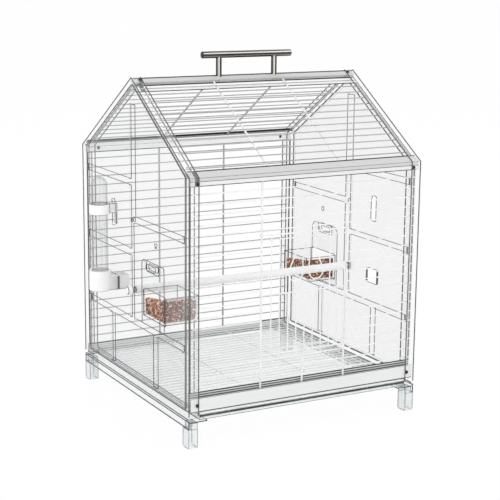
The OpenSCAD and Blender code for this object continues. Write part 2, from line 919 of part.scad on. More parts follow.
module door() {
    color(wire_c) placed() {
        for (z = [bottom_rail_z, mid_rail_z, top_rail_z]) {
            hinge_ring(z);
        }
        for (z = [bottom_rail_z, mid_rail_z]) {
            bar_x(rail_x0, stile_x + rail_over, door_rail_in, z, door_rail_r);
        }
        bar_x(rail_x0, stile_top_x + rail_over, door_rail_in, top_rail_z, door_rail_r);
        for (i = [0:bar_count - 1]) {
            short = i >= short_first && i <= short_last;
            top = (short ? mid_rail_z : top_rail_z) + wire_over;
            bar_up(bottom_rail_z - wire_over, top, first_bar_x + i * door_pitch, door_wire_in, wire_r);
        }
        bar_up(pin_end_z, jog_z, stile_x, door_wire_in, wire_r);
        bar_up(jog_top_z, top_rail_z + wire_over, stile_top_x, door_wire_in, wire_r);
        translate([0, door_wire_in, 0]) {
            straight([stile_x, jog_z], [stile_top_x, jog_top_z], 0);
            bend_ball([stile_x, jog_z]);
            bend_ball([stile_top_x, jog_top_z]);
        }
        translate([stile_x, door_wire_in, pin_end_z]) sphere(r = pin_ball, $fn = round_fn);
    }
}

// right side of the heart: stem, shoulder, round bottom bend, inner side up to the tip
module heart_side() {
    knee_z = heart_tip_z - heart_knee;
    stem_x = heart_half / 2;
    stem_z = heart_tip_z - heart_stem;
    bend_r = (heart_half - heart_inner) / 2;
    bend_x = heart_half - bend_r;
    bend_z = heart_low + bend_r;
    away = norm([stem_x - bend_x, stem_z - bend_z]);
    meet = atan2(stem_z - bend_z, stem_x - bend_x) - acos(bend_r / away);
    meet_x = bend_x + bend_r * cos(meet);
    meet_z = bend_z + bend_r * sin(meet);
    straight([stem_x, top_rail_z - door_rail_r - bite], [stem_x, stem_z], 0);
    bend_ball([stem_x, stem_z]);
    straight([stem_x, stem_z], [meet_x, meet_z], bite);
    translate([bend_x, 0, bend_z]) rotate([90, 0, 0]) rotate([0, 0, -180])
        rotate_extrude(angle = 180 + meet, $fn = round_fn) translate([bend_r, 0])
            circle(r = wire_r + arc_more, $fn = wire_fn);
    straight([heart_inner, knee_z], [heart_inner, bend_z], bite);
    bend_ball([heart_inner, knee_z]);
    straight([heart_inner, knee_z], [0, heart_tip_z], 0);
}

module straight(a, b, more) {
    translate([a[0], 0, a[1]]) rotate([0, atan2(b[0] - a[0], b[1] - a[1]), 0])
        cylinder(h = norm(b - a) + more, r = wire_r, $fn = wire_fn);
}

module bend_ball(p) {
    translate([p[0], 0, p[1]]) sphere(r = wire_r + bend_more, $fn = wire_fn);
}

module door_heart() {
    color(wire_c) placed() translate([heart_x, door_wire_in, 0]) {
        heart_side();
        mirror([1, 0, 0]) heart_side();
        bend_ball([0, heart_tip_z]);
    }
}

// sleeve on the stile's lower end with a hook that turns in behind the latch side wire
module door_latch() {
    color(wire_c) placed() translate([stile_x, door_wire_in, 0]) {
        difference() {
            union() {
                bar_up(sleeve_z, sleeve_top_z, 0, 0, wire_r + run_fit + sleeve_wall);
                translate([0, 0, hook_z]) rotate([0, 90, hook_free])
                    cylinder(h = hook_reach + bite, r = wire_r, $fn = wire_fn);
            }
            bar_up(sleeve_z - through, sleeve_top_z + through, 0, 0, wire_r + run_fit);
        }
        translate([0, 0, hook_z]) rotate([0, 0, hook_free - hook_sweep])
            rotate_extrude(angle = hook_sweep, $fn = round_fn) translate([hook_reach, 0])
                circle(r = wire_r - arc_more, $fn = wire_fn);
    }
}

module perch() {
    color(perch_c) placed() {
        bar_x(sheet_in + gap, cabin_w - sheet_in - gap, half_d, perch_z, perch_dia / 2);
        bar_x(-nut_len + 2, cabin_w + nut_len - 2, half_d, perch_z, perch_end_r);
    }
}

module perch_nut() {
    difference() {
        union() {
            translate([-nut_len + 1.5, half_d, perch_z]) rotate([0, 90, 0])
                cylinder(h = nut_len - 1.5, r = nut_dia / 2, $fn = round_fn);
            translate([-nut_len, half_d, perch_z]) rotate([0, 90, 0])
                cylinder(h = 2, r = nut_dia / 2 - 1.5, $fn = round_fn);
        }
        bar_x(-nut_len + 1.8, through, half_d, perch_z, perch_end_r + run_fit);
    }
}

module perch_nut_left() {
    color(white_c) placed() perch_nut();
}

module perch_nut_right() {
    color(white_c) placed() to_right() perch_nut();
}

// feeder: plate outside the panel, cup through it, slotted pull on top
module feeder() {
    y0 = feeder_y - plate_w / 2;
    cup_y = feeder_y - cup_w / 2;
    pull_z = plate_z + plate_h - pull_h;
    mid_pull = pull_z + pull_h / 2;
    difference() {
        union() {
            along_x(plate_x, plate_t)
                polygon(soft_box(y0, plate_z, y0 + plate_w, plate_z + plate_h, 1.5, plate_corner));
            along_x(-pull_out, pull_out + plate_x + bite)
                polygon(soft_box(feeder_y - slot_w / 2 - pull_side, pull_z, feeder_y + slot_w / 2 + pull_side,
                    plate_z + plate_h - 0.5, 3, 3));
            difference() {
                along_y(cup_y, cup_w) polygon(concat(
                    [[plate_x + 0.4, cup_z]],
                    quarter(cup_reach - cup_corner, cup_z + cup_corner, cup_corner, 270),
                    [[cup_reach, cup_z + cup_h], [plate_x + 0.4, cup_z + cup_h]]));
                along_y(cup_y + cup_wall, cup_w - 2 * cup_wall) polygon(concat(
                    [[plate_x + plate_t, cup_z + cup_wall]],
                    quarter(cup_reach - cup_corner, cup_z + cup_corner, cup_corner - cup_wall, 270),
                    [[cup_reach - cup_wall, cup_z + cup_h + 1], [plate_x + plate_t, cup_z + cup_h + 1]]));
            }
        }
        along_x(-pull_out - through, pull_out + flange_t + 2 * through) polygon(soft_box(
            feeder_y - slot_w / 2, mid_pull - slot_h / 2, feeder_y + slot_w / 2, mid_pull + slot_h / 2, 3.5, 3.5));
    }
}

// loose seed, higher on one side of the cup
module seed(near_drop, far_drop) {
    w = cup_wall + gap;
    y0 = feeder_y - cup_w / 2 + w;
    y1 = feeder_y + cup_w / 2 - w;
    x0 = plate_x + plate_t + gap;
    top = cup_z + cup_wall + seed_h;
    intersection() {
        along_y(y0, y1 - y0) polygon(concat(
            [[x0, cup_z + w]],
            quarter(cup_reach - cup_corner, cup_z + cup_corner, cup_corner - w, 270),
            [[cup_reach - w, top], [x0, top]]));
        along_x(x0, cup_reach)
            polygon([[y0, cup_z], [y1, cup_z], [y1, top - far_drop], [y0, top - near_drop]]);
    }
}

module feeder_left() {
    color(clear_c) placed() feeder();
}

module feeder_right() {
    color(clear_c) placed() turned() feeder();
}

module seed_left() {
    color(seed_c) placed() seed(0, seed_slump);
}

module seed_right() {
    color(seed_c) placed() turned() seed(seed_slump, 0);
}

// drinker outside the left gable
module bottle_tube() {
    inner = tube_r - tube_wall;
    color(clear_c) placed() translate([-bottle_out, bottle_y, 0]) difference() {
        union() {
            translate([0, 0, tube_z]) cylinder(h = dome_z - tube_z, r = tube_r, $fn = round_fn);
            translate([0, 0, dome_z]) intersection() {
                sphere(r = tube_r, $fn = round_fn);
                translate([0, 0, tube_r / 2]) cube([3 * tube_r, 3 * tube_r, tube_r], center = true);
            }
        }
        translate([0, 0, tube_z - through])
            cylinder(h = dome_z - tube_z + through, r = inner, $fn = round_fn);
        translate([0, 0, dome_z]) sphere(r = inner, $fn = round_fn);
    }
}

module bottle_base() {
    inside = bottle_out + snout_in;
    color(white_c) placed() translate([-bottle_out, bottle_y, 0]) difference() {
        union() {
            translate([0, 0, base_z + 2]) cylinder(h = base_h - 2, r = base_dia / 2, $fn = round_fn);
            translate([0, 0, base_z]) cylinder(h = 3, r = base_dia / 2 - 2, $fn = round_fn);
            translate([0, -snout_w / 2, snout_z]) cube([inside, snout_w, snout_h]);
        }
        translate([0, 0, tube_z - gap]) cylinder(h = base_h, r = tube_r + gap, $fn = round_fn);
        translate([0, 0, snout_z + snout_wall])
            cylinder(h = base_h, r = tube_r - 3, $fn = round_fn);
        translate([0, -snout_w / 2 + snout_wall, snout_z + snout_wall])
            cube([inside - snout_wall, snout_w - 2 * snout_wall, snout_h - 2 * snout_wall]);
        translate([bottle_out + sheet_in + trough_sill, -snout_w / 2 + snout_wall, snout_z + snout_wall])
            cube([snout_in - sheet_in - trough_sill - snout_wall, snout_w - 2 * snout_wall, snout_h]);
    }
}

module bottle_clip() {
    bore = tube_r + clip_fit;
    outer = bore + clip_t;
    tail_x = bottle_out + sheet_in + clip_gap;
    color(white_c) placed() translate([-bottle_out, bottle_y, 0]) {
        difference() {
            union() {
                translate([0, 0, clip_z]) cylinder(h = clip_h, r = outer, $fn = round_fn);
                translate([outer - plug_bite, -plug_w / 2, clip_z + 1])
                    cube([bottle_out + clip_in - outer + plug_bite, plug_w, clip_h - 2]);
            }
            translate([0, 0, clip_z - through]) cylinder(h = clip_h + 2 * through, r = bore, $fn = round_fn);
        }
        translate([tail_x, -plug_w / 2, clip_z - tail_h])
            cube([bottle_out + clip_in - tail_x, plug_w, tail_h + 3]);
    }
}

// handle: bar on two posts whose feet straddle the ridge
module handle_bar() {
    bevel = 1;
    color(steel_c) placed() difference() {
        translate([mid_x - bar_len / 2, half_d, bar_z]) rotate([0, 90, 0]) rotate_extrude($fn = round_fn)
            polygon([
                [0, 0], [bar_r - bevel, 0], [bar_r, bevel], [bar_r, bar_len - bevel],
                [bar_r - bevel, bar_len], [0, bar_len]
            ]);
        for (side = [-1, 1]) {
            translate([mid_x + side * post_pitch / 2, half_d, bar_z - bar_r - through])
                cylinder(h = bar_r + through + spigot_up + fit, r = spigot_r + run_fit, $fn = round_fn);
        }
    }
}

module handle_posts() {
    foot_z = roof_z(half_d - post_r, rail_in) - 1;
    side_y = half_d - 2 * post_dia;
    side_z = roof_z(side_y, rail_in);
    under_z = side_z - 4 * post_dia;
    across = post_dia + 2;
    color(steel_c) placed() for (side = [-1, 1]) {
        translate([mid_x + side * post_pitch / 2, 0, 0]) difference() {
            bar_up(foot_z, bar_z, 0, half_d, post_r);
            bar_x(-across, across, half_d, bar_z, bar_r);
            along_x(-across, 2 * across) polygon([
                [side_y, side_z], [side_y, under_z], [cabin_d - side_y, under_z],
                [cabin_d - side_y, side_z], [half_d, roof_z(half_d, rail_in)]
            ]);
            bar_up(foot_z - 5, ridge_z + screw_up + 1, 0, half_d, screw_r + run_fit);
        }
        bar_up(bar_z - bar_r - 2, bar_z + spigot_up, mid_x + side * post_pitch / 2, half_d, spigot_r);
    }
}

module handle_screws() {
    seat = roof_z(half_d - screw_head_r, inner_end) - 0.1;
    color(steel_c) placed() for (side = [-1, 1]) {
        bar_up(seat - 0.5, ridge_z + screw_up, mid_x + side * post_pitch / 2, half_d, screw_r);
        translate([mid_x + side * post_pitch / 2, half_d, seat - screw_head_h])
            cylinder(h = screw_head_h, r = screw_head_r, $fn = round_fn);
    }
}

gable_frame_left();
gable_frame_right();
gable_panel_left();
gable_panel_right();
ridge_rail();
front_eave_rail();
back_eave_rail();
front_base_rail();
back_base_rail();
runner_left();
runner_right();
foot_front_left();
foot_front_right();
foot_back_left();
foot_back_right();
front_grille_left();
front_grille_right();
front_grille_top();
front_grille_sill();
back_grille();
front_roof_grille();
back_roof_grille();
frame_screws();
floor_grate();
tray();
door();
door_heart();
door_latch();
perch();
perch_nut_left();
perch_nut_right();
feeder_left();
feeder_right();
seed_left();
seed_right();
bottle_tube();
bottle_base();
bottle_clip();
handle_bar();
handle_posts();
handle_screws();
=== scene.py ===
import math
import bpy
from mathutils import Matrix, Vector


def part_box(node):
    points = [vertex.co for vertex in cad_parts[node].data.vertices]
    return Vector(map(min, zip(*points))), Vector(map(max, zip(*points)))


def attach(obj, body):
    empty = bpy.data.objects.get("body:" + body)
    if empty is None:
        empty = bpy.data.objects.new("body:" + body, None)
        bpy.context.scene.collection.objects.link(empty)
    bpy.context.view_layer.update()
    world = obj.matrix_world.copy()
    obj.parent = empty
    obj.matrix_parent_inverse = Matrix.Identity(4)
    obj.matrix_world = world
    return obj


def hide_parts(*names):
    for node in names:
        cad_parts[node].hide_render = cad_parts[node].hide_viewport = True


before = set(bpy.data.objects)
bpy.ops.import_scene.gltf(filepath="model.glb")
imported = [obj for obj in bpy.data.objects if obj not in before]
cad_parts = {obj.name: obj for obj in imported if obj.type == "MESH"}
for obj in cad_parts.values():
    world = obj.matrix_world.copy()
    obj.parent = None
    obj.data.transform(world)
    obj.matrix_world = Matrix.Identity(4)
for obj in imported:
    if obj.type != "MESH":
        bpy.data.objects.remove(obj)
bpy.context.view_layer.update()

from types import SimpleNamespace

import bmesh
import bpy
from bpy.props import FloatProperty, FloatVectorProperty, IntProperty, PointerProperty
from mathutils import Matrix, Vector

bl_info = {
    "name": "Bird Travel Carrier",
    "version": (1, 0, 0),
    "blender": (4, 5, 0),
    "location": "View3D > Sidebar > Carrier",
    "description": "Dresses the carrier's frame with clear plastic, coated wire, rails, seed and drinker",
    "category": "Object",
}

MM = 0.001


def length(label, millimetres, text):
    """A size setting, given in millimetres."""
    return FloatProperty(
        name=label, description=text, default=millimetres * MM, min=0.0, max=1.0,
        unit="LENGTH", precision=5)


def angle(label, degrees, text):
    """An angle setting, given in degrees."""
    return FloatProperty(
        name=label, description=text, default=math.radians(degrees), min=-math.pi, max=math.pi,
        subtype="ANGLE")


def share(label, value, text):
    """A setting from 0 to 1."""
    return FloatProperty(name=label, description=text, default=value, min=0.0, max=1.0, subtype="FACTOR")


def number(label, value, text, low, high):
    """A setting without a unit, or with one that its text names."""
    return FloatProperty(name=label, description=text, default=value, min=low, max=high)


def amount(label, value, text, low=0):
    """A whole-number setting."""
    return IntProperty(name=label, description=text, default=value, min=low)


def colour(label, value, text):
    return FloatVectorProperty(
        name=label, description=text, default=value, min=0.0, max=1.0, subtype="COLOR", size=3)


class CarrierSizes(bpy.types.PropertyGroup):
    # Edge lines are painted shade: dark rods inside polished clear edges, for the lines that refraction
    # draws along them
    line: length("Edge line", 0.88, "Radius of the dark line inside a polished edge of clear plastic")
    fine_line: length("Fine edge line", 0.58, "Radius of that line on ribs, feeders, tray and feet")
    line_apart: length("Line gap", 8.0, "Least distance between two such lines side by side")
    fine_apart: length("Fine line gap", 4.5, "The same for the fine lines")
    line_depth: number("Line depth", 1.45, "Depth of a line under its edge, in radii of the line", 1, 4)
    ring_edge: length("Frame edges", 20.0, "Edges of the gable frames shorter than this get no line")
    sheet_edge: length("Panel edges", 0.4, "The same for the gable panels")
    runner_edge: length("Runner edges", 10.0, "The same for the runners")
    foot_edge: length("Foot edges", 8.0, "The same for the feet")
    feeder_edge: length("Feeder edges", 0.8, "The same for the feeders")
    tray_edge: length("Tray edges", 2.0, "The same for the tray")
    bold: number("Bold line", 2.7, "How much wider a bold line is", 1, 4)
    bold_from: length("Shortest bold", 5.0, "Upright panel edges longer than this get a bold line")
    bold_to: length("Longest bold", 32.0, "Upright panel edges longer than this get a plain line again")
    # Rail strips and lines are painted shade: along the rails' edges, under the front eave's band and under
    # the ridge's grey top
    seam: length("Rail seam", 1.5, "Height of the dark strips along the edges of the rails")
    back_shade_strip: length("Back shade strip", 4.5, "Height of the dark strip along the top of the back eave rail")
    eave_shade_band: length("Eave band", 5.6, "Height of the grey band on the front eave rail under its bend")
    eave_shade_line: length("Eave line", 0.8, "Height of the dark line under that band")
    ridge_band: length("Ridge band", 10.5, "Height of the grey top of the ridge rail")
    ridge_shade_line: length("Ridge line", 1.6, "Height of the dark line under that top")
    rail_tip: length("Rail tip", 7.0, "Length of the dark patches where two rails enter the left frame")
    mark: length("Rail mark", 4.5, "Width of the dark marks near the ends of the back eave rail")
    mark_in: length("Mark place", 19.0, "Distance of those marks from the ends of the rail")
    tray_rim: length("Tray rim", 0.6, "Height of the tray's pale rim over the shaded band of its front")
    tray_band: length("Tray band", 3.6, "Depth of that band's lower edge under the tray's top")
    eased: length("Eased edge", 0.3, "Width of the eased edges of rails, posts and nuts")
    # The rails' eased edges carry painted shade
    ridge_eased: length("Eased ridge", 0.9, "Width of the eased edges of the ridge rail")
    drinker_eased: length("Eased drinker", 0.72, "Width of the eased edges of the drinker's base and clip")
    bar_eased: length("Eased handle", 1.05, "Length of the rounded ends of the handle's bar")
    play: length("Play", 0.3, "Gap between pieces that don't touch")
    fit: length("Fit", 0.05, "Gap between pieces that turn on each other")
    thin: length("Thin wire", 0.9, "Radius of the thin wires of the walls, roof and door")
    thick: length("Thick wire", 1.5, "Radius of the thick wires that cross them")
    weld: length("Weld", 1.15, "Radius of the spot welds where wires cross")
    wire_depth: length("Thin wire depth", 3.4, "Depth of the thin wires under the cabin's outer surface")
    thick_depth: length("Thick wire depth", 5.5, "Depth of the thick wires under the cabin's outer surface")
    wall_spacing: length("Wall spacing", 14.85, "Distance between the thin wires of the walls")
    roof_spacing: length("Roof spacing", 15.0, "Distance between the roof's thin wires, along the slope")
    roof_first: length("First roof wire", 26.0, "Distance of the lowest thin roof wire from the eave")
    roof_low: length("Roof cross wires", 9.0, "Distance of the thick roof wires' lower ends from the eave")
    roof_top: length("Ridge gap", 11.0, "Distance of the thick roof wires' upper ends from the ridge")
    cross_spacing: length("Cross wires", 121.0, "Distance between the back wall's and roof's thick wires")
    eave: length("Eave", 393.0, "Height of the eaves over the ground")
    grate_thin: length("Grate wire", 0.8, "Radius of the thin wires of the floor grate")
    grate_long: length("Long grate wire", 0.9, "Radius of the grate's wires from front to back")
    grate_end: length("End grate wire", 1.4, "Radius of the grate's front and back wires")
    grate_spacing: length("Grate spacing", 13.0, "Distance between the thin wires of the floor grate")
    grate_last: length("Last grate wire", 6.0, "Least distance of the last thin wire from the back wire")
    grate_inset: length("Grate inset", 1.0, "Distance of the grate's outer long wires from its sides")
    door_lap: length("Door lap", 7.0, "How far the door's rails lie past the wires of the doorway")
    door_middle: length("Middle rail", 89.0, "Height of the door's middle rail over its bottom rail")
    door_spacing: length("Door spacing", 14.15, "Distance between the door's upright wires")
    door_rail: length("Door rail", 1.1, "Radius of the door's three rails")
    door_over: length("Wire ends", 1.0, "How far the door's upright wires reach past its rails")
    rail_over: length("Rail ends", 1.2, "How far the door's rails reach past its stile")
    ring: length("Ring wire", 1.0, "Radius of the wire of the hinge rings")
    ring_play: length("Ring play", 0.1, "Clearance between a hinge ring and its wire")
    stile_inset: length("Stile inset", 4.0, "Distance of the lower stile from the doorway's right wire")
    jog_up: length("Stile bend", 37.0, "Height of the stile's lower bend over the middle rail")
    jog_rise: length("Bend height", 5.0, "Height of the slanted stretch of the stile")
    pin: length("Pin", 1.1, "Radius of the ball that holds the latch sleeve up")
    heart_side: length("Heart offset", 1.5, "Distance of the heart wire's middle beside the middle bar")
    heart_height: length("Heart height", 55.6, "Height of the heart wire up to its tip")
    heart_inner: length("Heart inner", 5.3, "Half the distance between the heart's inner sides")
    heart_knee: length("Heart knee", 20.0, "Height of the tip over the bends of the inner sides")
    heart_stem: length("Heart shoulder", 6.0, "Distance of the shoulders under the tip")
    hook_reach: length("Hook reach", 8.6, "Radius at which the latch hook turns")
    hook_start: angle("Hook start", 140.0, "Direction of the latch hook's arm")
    hook_sweep: angle("Hook sweep", 50.0, "Turn of the hook's curved end")
    perch_end: length("Perch end", 3.0, "Radius of the perch's threaded ends")
    perch_rib: length("Perch rib", 6.1, "Distance between the grooves round the perch")
    tube_wall: length("Tube wall", 1.5, "Wall thickness of the drinker's tube")
    grain: length("Grain", 3.7, "Length of a seed")
    grain_rise: share("Grain rise", 0.42, "How far a seed stands out, as a share of its length")
    grain_density: number("Grains", 150000.0, "Seeds for each square metre of surface", 1e4, 3e5)
    grain_seed: amount("Scatter", 7, "Start value of the seeds' scatter")
    slump: length("Slump", 15.0, "How far the seed falls away to the cup's far sides")
    slump_rim: length("Slump rim", 3.0, "Width of the level rim of seed at the near sides")
    wall_rows: amount("Wall wires", 20, "Thin wires in the front wall", 8)
    roof_rows: amount("Roof wires", 13, "Thin wires on each slope", 5)
    door_bars: amount("Door wires", 9, "Upright wires of the door", 3)
    short_from: amount("First short wire", 2, "First door wire that ends at the middle rail")
    short_to: amount("Last short wire", 6, "Last door wire that ends at the middle rail")


class CarrierColours(bpy.types.PropertyGroup):
    clear: colour("Clear plastic", (0.62, 0.65, 0.65), "Tint of the clear plastic")
    clear_body: share("Clear body", 0.04, "How much of its own colour one clear face shows")
    ring: colour("Gable frames", (0.95, 0.97, 0.97), "Milky tint of the gable frames")
    ring_body: share("Frame body", 0.1, "How much of its own colour one face of a gable frame shows")
    sheet: colour("Gable panels", (0.6, 0.62, 0.615), "Tint of the gable panels")
    sheet_body: share("Sheet body", 0.12, "How much of its own colour one face of a gable panel shows")
    # Painted shade: how dark the drinker's tube gets at its sides
    tube_side_shade: share("Tube body", 0.68, "How much of its own colour the drinker's tube shows at its sides")
    # Tones of the painted shade along polished clear edges
    edge_shade_dark: colour("Edge line", (0.004, 0.005, 0.005), "Darkest tone of the polished edges")
    edge_shade_pale: colour("Pale edge line", (0.035, 0.038, 0.038), "Palest tone of the polished edges")
    edge_shade_body: share("Edge line body", 0.97, "How strongly the polished edges show")
    wire: colour("Wire coating", (0.86, 0.86, 0.855), "White coating of the wires")
    # Painted shade: a darker copy of the white coating, for the roof's and back wall's wires
    wire_shaded: colour("Shaded wire coating", (0.45, 0.45, 0.45), "Coating of the roof's and back wall's wires")
    # The rails' grey and paler tones are shaded and lit copies of one metal: the paler one is painted light
    # on upright faces
    rail: colour("Rails", (0.6, 0.6, 0.6), "Light grey of the rails")
    rail_face: colour("Rail fronts", (0.77, 0.775, 0.775), "Paler grey of their upright faces")
    # Dark tone of the painted shade on the rails' edges and gaps, the nuts and the drinker, and of the
    # rails' dark marks
    rail_line: colour("Rail edges", (0.012, 0.012, 0.012), "Dark edges of the rails")
    rail_groove: colour("Rail grooves", (0.3, 0.32, 0.315), "Beaded inner side of the front base rail")
    rail_back: colour("Back rail", (0.84, 0.88, 0.87), "Inner side of the back base rail")
    steel: colour("Handle steel", (0.2, 0.18, 0.165), "Brushed steel of the handle")
    steel_dark: colour("Dark steel", (0.012, 0.011, 0.01), "Dark reflections along the handle")
    steel_pale: colour("Pale steel", (0.72, 0.69, 0.66), "Pale reflections along the handle")
    # Painted shade on the handle's end faces
    steel_end: colour("Handle ends", (0.03, 0.028, 0.026), "End faces of the handle")
    screw: colour("Screws", (0.035, 0.035, 0.035), "Blackened screws")
    base: colour("Base plastic", (0.6, 0.66, 0.69), "Tint of the runners and feet")
    base_body: share("Base body", 0.1, "How much of its own colour one face of the runners and feet shows")
    foot: colour("Feet", (0.82, 0.865, 0.885), "Glassy blue of the feet")
    foot_body: share("Foot body", 0.4, "How much of its own colour one face of a foot shows")
    tray: colour("Tray", (0.9, 0.97, 1.0), "Pale blue of the translucent tray")
    tray_body: share("Tray body", 0.24, "How much of its own colour one face of the tray shows")
    white: colour("White plastic", (0.96, 0.96, 0.955), "Drinker's base, its clip and the perch nuts")
    perch: colour("Perch", (0.96, 0.965, 0.965), "Light grey of the perch")
    seed: colour("Seed", (0.66, 0.2, 0.085), "Red-brown of most seeds")
    seed_pale: colour("Pale seed", (0.96, 0.6, 0.4), "Cream seeds")
    seed_dark: colour("Dark seed", (0.1, 0.03, 0.014), "Dark seeds")


class CarrierStudio(bpy.types.PropertyGroup):
    backdrop: colour("Backdrop", (1.0, 1.0, 1.0), "Floor and backdrop")
    glow: share("Floor glow", 0.95, "Share of the floor that shows as plain backdrop, the rest takes shade")
    fill: number("Fill light", 0.86, "Even light from all round", 0, 2)
    key: number("Key light", 22.0, "Power of the large lamp in watts", 0, 1000)
    lens: number("Lens", 99.24, "Focal length in millimetres", 20, 300)
    azimuth: angle("Azimuth", -28.816, "Turn of the camera round the carrier")
    elevation: angle("Elevation", 12.134, "Tilt of the camera over the level")
    roll: angle("Roll", 0.582, "Turn of the camera about its own axis")
    place: FloatVectorProperty(
        name="Camera", description="Place of the camera from the cabin's middle",
        default=(-1.0215, -1.8736, 0.6956), size=3)


def sizes():
    return bpy.context.scene.carrier_sizes


def colours():
    return bpy.context.scene.carrier_colours


def middle_x():
    """X of the cabin's middle."""
    return (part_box("gable_frame_left")[0].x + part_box("gable_frame_right")[1].x) / 2


def layout():
    """Places of the wires, roof and door, worked out from the frame's nodes and the sizes."""
    size = sizes()
    gable_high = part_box("gable_frame_left")[1]
    left_low, left_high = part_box("front_grille_left")
    right_low, right_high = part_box("front_grille_right")
    top_low, top_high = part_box("front_grille_top")
    sill_low, sill_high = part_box("front_grille_sill")
    door_low, door_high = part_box("door")
    heart_low, heart_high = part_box("door_heart")
    half = gable_high.y
    first_z = top_high.z - size.thin - (size.wall_rows - 1) * size.wall_spacing
    sill_rows = 1 + int((sill_high.z - first_z) / size.wall_spacing)
    bottom_rail = first_z + (sill_rows - 1) * size.wall_spacing - size.door_lap
    thin_y = size.wire_depth - half
    thick_y = size.thick_depth - half
    latch_x = right_low.x + size.thick
    heart_x = (heart_low.x + heart_high.x) / 2
    return SimpleNamespace(
        half=half,
        middle=middle_x(),
        slope=math.atan2(gable_high.z - size.eave, half),
        run=math.hypot(gable_high.z - size.eave, half),
        thin_y=thin_y,
        thick_y=thick_y,
        weld_y=(thin_y + thick_y) / 2,
        wires=(left_low.x, right_high.x),
        doorway=(sill_low.x, sill_high.x),
        hinge_x=left_high.x - size.thick,
        latch_x=latch_x,
        first_z=first_z,
        sill_rows=sill_rows,
        top_first=top_low.z + size.thin,
        top_rows=1 + round((top_high.z - top_low.z - 2 * size.thin) / size.wall_spacing),
        uprights=(left_low.z, left_high.z),
        sill_upright=(sill_low.z, sill_high.z),
        bar_middle=heart_x - size.heart_side,
        heart_x=heart_x,
        bar_y=thin_y - 2 * size.thin - size.play,
        rail_y=thick_y - size.thick - size.ring_play - (size.ring + size.door_rail) / 2,
        bottom_rail=bottom_rail,
        middle_rail=bottom_rail + size.door_middle,
        top_rail=top_low.z + size.thin + size.door_lap,
        stile_x=latch_x - size.stile_inset,
        stile_top_x=door_high.x - size.rail_over,
        pin_z=door_low.z + size.pin,
    )


def on_slope(spot, run, deep):
    """Y and Z of a point on the front slope, from its distance up the slope and its depth."""
    return (
        run * math.cos(spot.slope) + deep * math.sin(spot.slope) - spot.half,
        sizes().eave + run * math.sin(spot.slope) - deep * math.cos(spot.slope),
    )


# nodes


def grow(tree, kind, links, **settings):
    """Adds a node with its settings, and links its inputs or sets their values."""
    node = tree.nodes.new(kind)
    for key, value in settings.items():
        setattr(node, key, value)
    for key, value in links.items():
        if isinstance(value, bpy.types.NodeSocket):
            tree.links.new(value, node.inputs[key])
        else:
            node.inputs[key].default_value = value
    return node


def maths(tree, operation, first, second, **settings):
    """The result of a sum on two values."""
    return grow(tree, "ShaderNodeMath", {0: first, 1: second}, operation=operation, **settings).outputs[0]


def object_space(tree, scale=(1, 1, 1)):
    """Object coordinates, stretched."""
    coords = tree.nodes.new("ShaderNodeTexCoord")
    return grow(tree, "ShaderNodeMapping", {
        "Vector": coords.outputs["Object"], "Scale": scale}).outputs["Vector"]


def noise(tree, scale, detail, vector):
    return grow(tree, "ShaderNodeTexNoise", {
        "Scale": scale, "Detail": detail, "Vector": vector}).outputs["Fac"]


def spread(tree, value, low, high):
    """Maps a value from 0 to 1 to a range."""
    return grow(tree, "ShaderNodeMapRange", {
        "Value": value, "To Min": low, "To Max": high}).outputs["Result"]


def bump(tree, shader, height, strength, distance):
    node = grow(tree, "ShaderNodeBump", {"Strength": strength, "Distance": distance, "Height": height})
    tree.links.new(node.outputs["Normal"], shader.inputs["Normal"])


def ramp(tree, value, stops):
    """The colours of a value, from stops of a position and a colour."""
    node = grow(tree, "ShaderNodeValToRGB", {"Fac": value})
    points = node.color_ramp.elements
    while len(points) > 1:
        points.remove(points[-1])
    points[0].position = stops[0][0]
    points[0].color = (*stops[0][1], 1)
    for position, tone in stops[1:]:
        points.new(position).color = (*tone, 1)
    return node.outputs["Color"]


# materials

CLEAR_IOR = 1.49


def new_material(name):
    mat = bpy.data.materials.new(name)
    mat.use_nodes = True
    tree = mat.node_tree
    return mat, tree, tree.nodes["Principled BSDF"]


def shade(tone, factor):
    return tuple(min(1.0, c * factor) for c in tone)


def around(tone, dark, pale, stops=(0.3, 0.7)):
    """Two stops for a ramp, darker and paler than the tone."""
    return [(stops[0], shade(tone, dark)), (stops[1], shade(tone, pale))]


def paint(tree, shader, tones, tint_by, rough, gloss_by):
    """Links the tones of one value to the base colour and the range of another to the roughness."""
    tree.links.new(ramp(tree, tint_by, tones), shader.inputs["Base Color"])
    tree.links.new(spread(tree, gloss_by, *rough), shader.inputs["Roughness"])


def clear_plastic(name, tint, body):
    """Clear moulded plastic: mostly see-through, with faint flow marks in tint and gloss."""
    mat, tree, shader = new_material(name)
    flow = noise(tree, 22, 3, object_space(tree))
    paint(tree, shader, around(tint, 0.92, 1.08), flow, (0.05, 0.16), flow)
    shader.inputs["IOR"].default_value = CLEAR_IOR
    shader.inputs["Alpha"].default_value = body
    bump(tree, shader, flow, 0.15, 0.0004)
    return mat


def tube_plastic(name, tint, body, edge):
    """Clear round wall: see-through in front, with painted refraction shade at its sides, and faint upright
    dark streaks.
    """
    mat, tree, shader = new_material(name)
    marks = noise(tree, 1, 3, object_space(tree, (420, 420, 5)))
    paint(tree, shader, around(tint, 0.12, 0.7, (0.35, 0.65)), marks, (0.05, 0.2), marks)
    # painted refraction shade at the sides, by how far a face turns from the view
    facing = tree.nodes.new("ShaderNodeLayerWeight").outputs["Facing"]
    wall = maths(tree, "MULTIPLY", maths(tree, "POWER", facing, 3.0), edge)
    streak = grow(tree, "ShaderNodeMapRange", {"Value": marks, "From Min": 0.55, "From Max": 0.75})
    mark = maths(tree, "MULTIPLY", streak.outputs["Result"], edge * 0.3)
    whole = maths(tree, "ADD", maths(tree, "ADD", wall, mark), body, use_clamp=True)
    tree.links.new(whole, shader.inputs["Alpha"])
    return mat


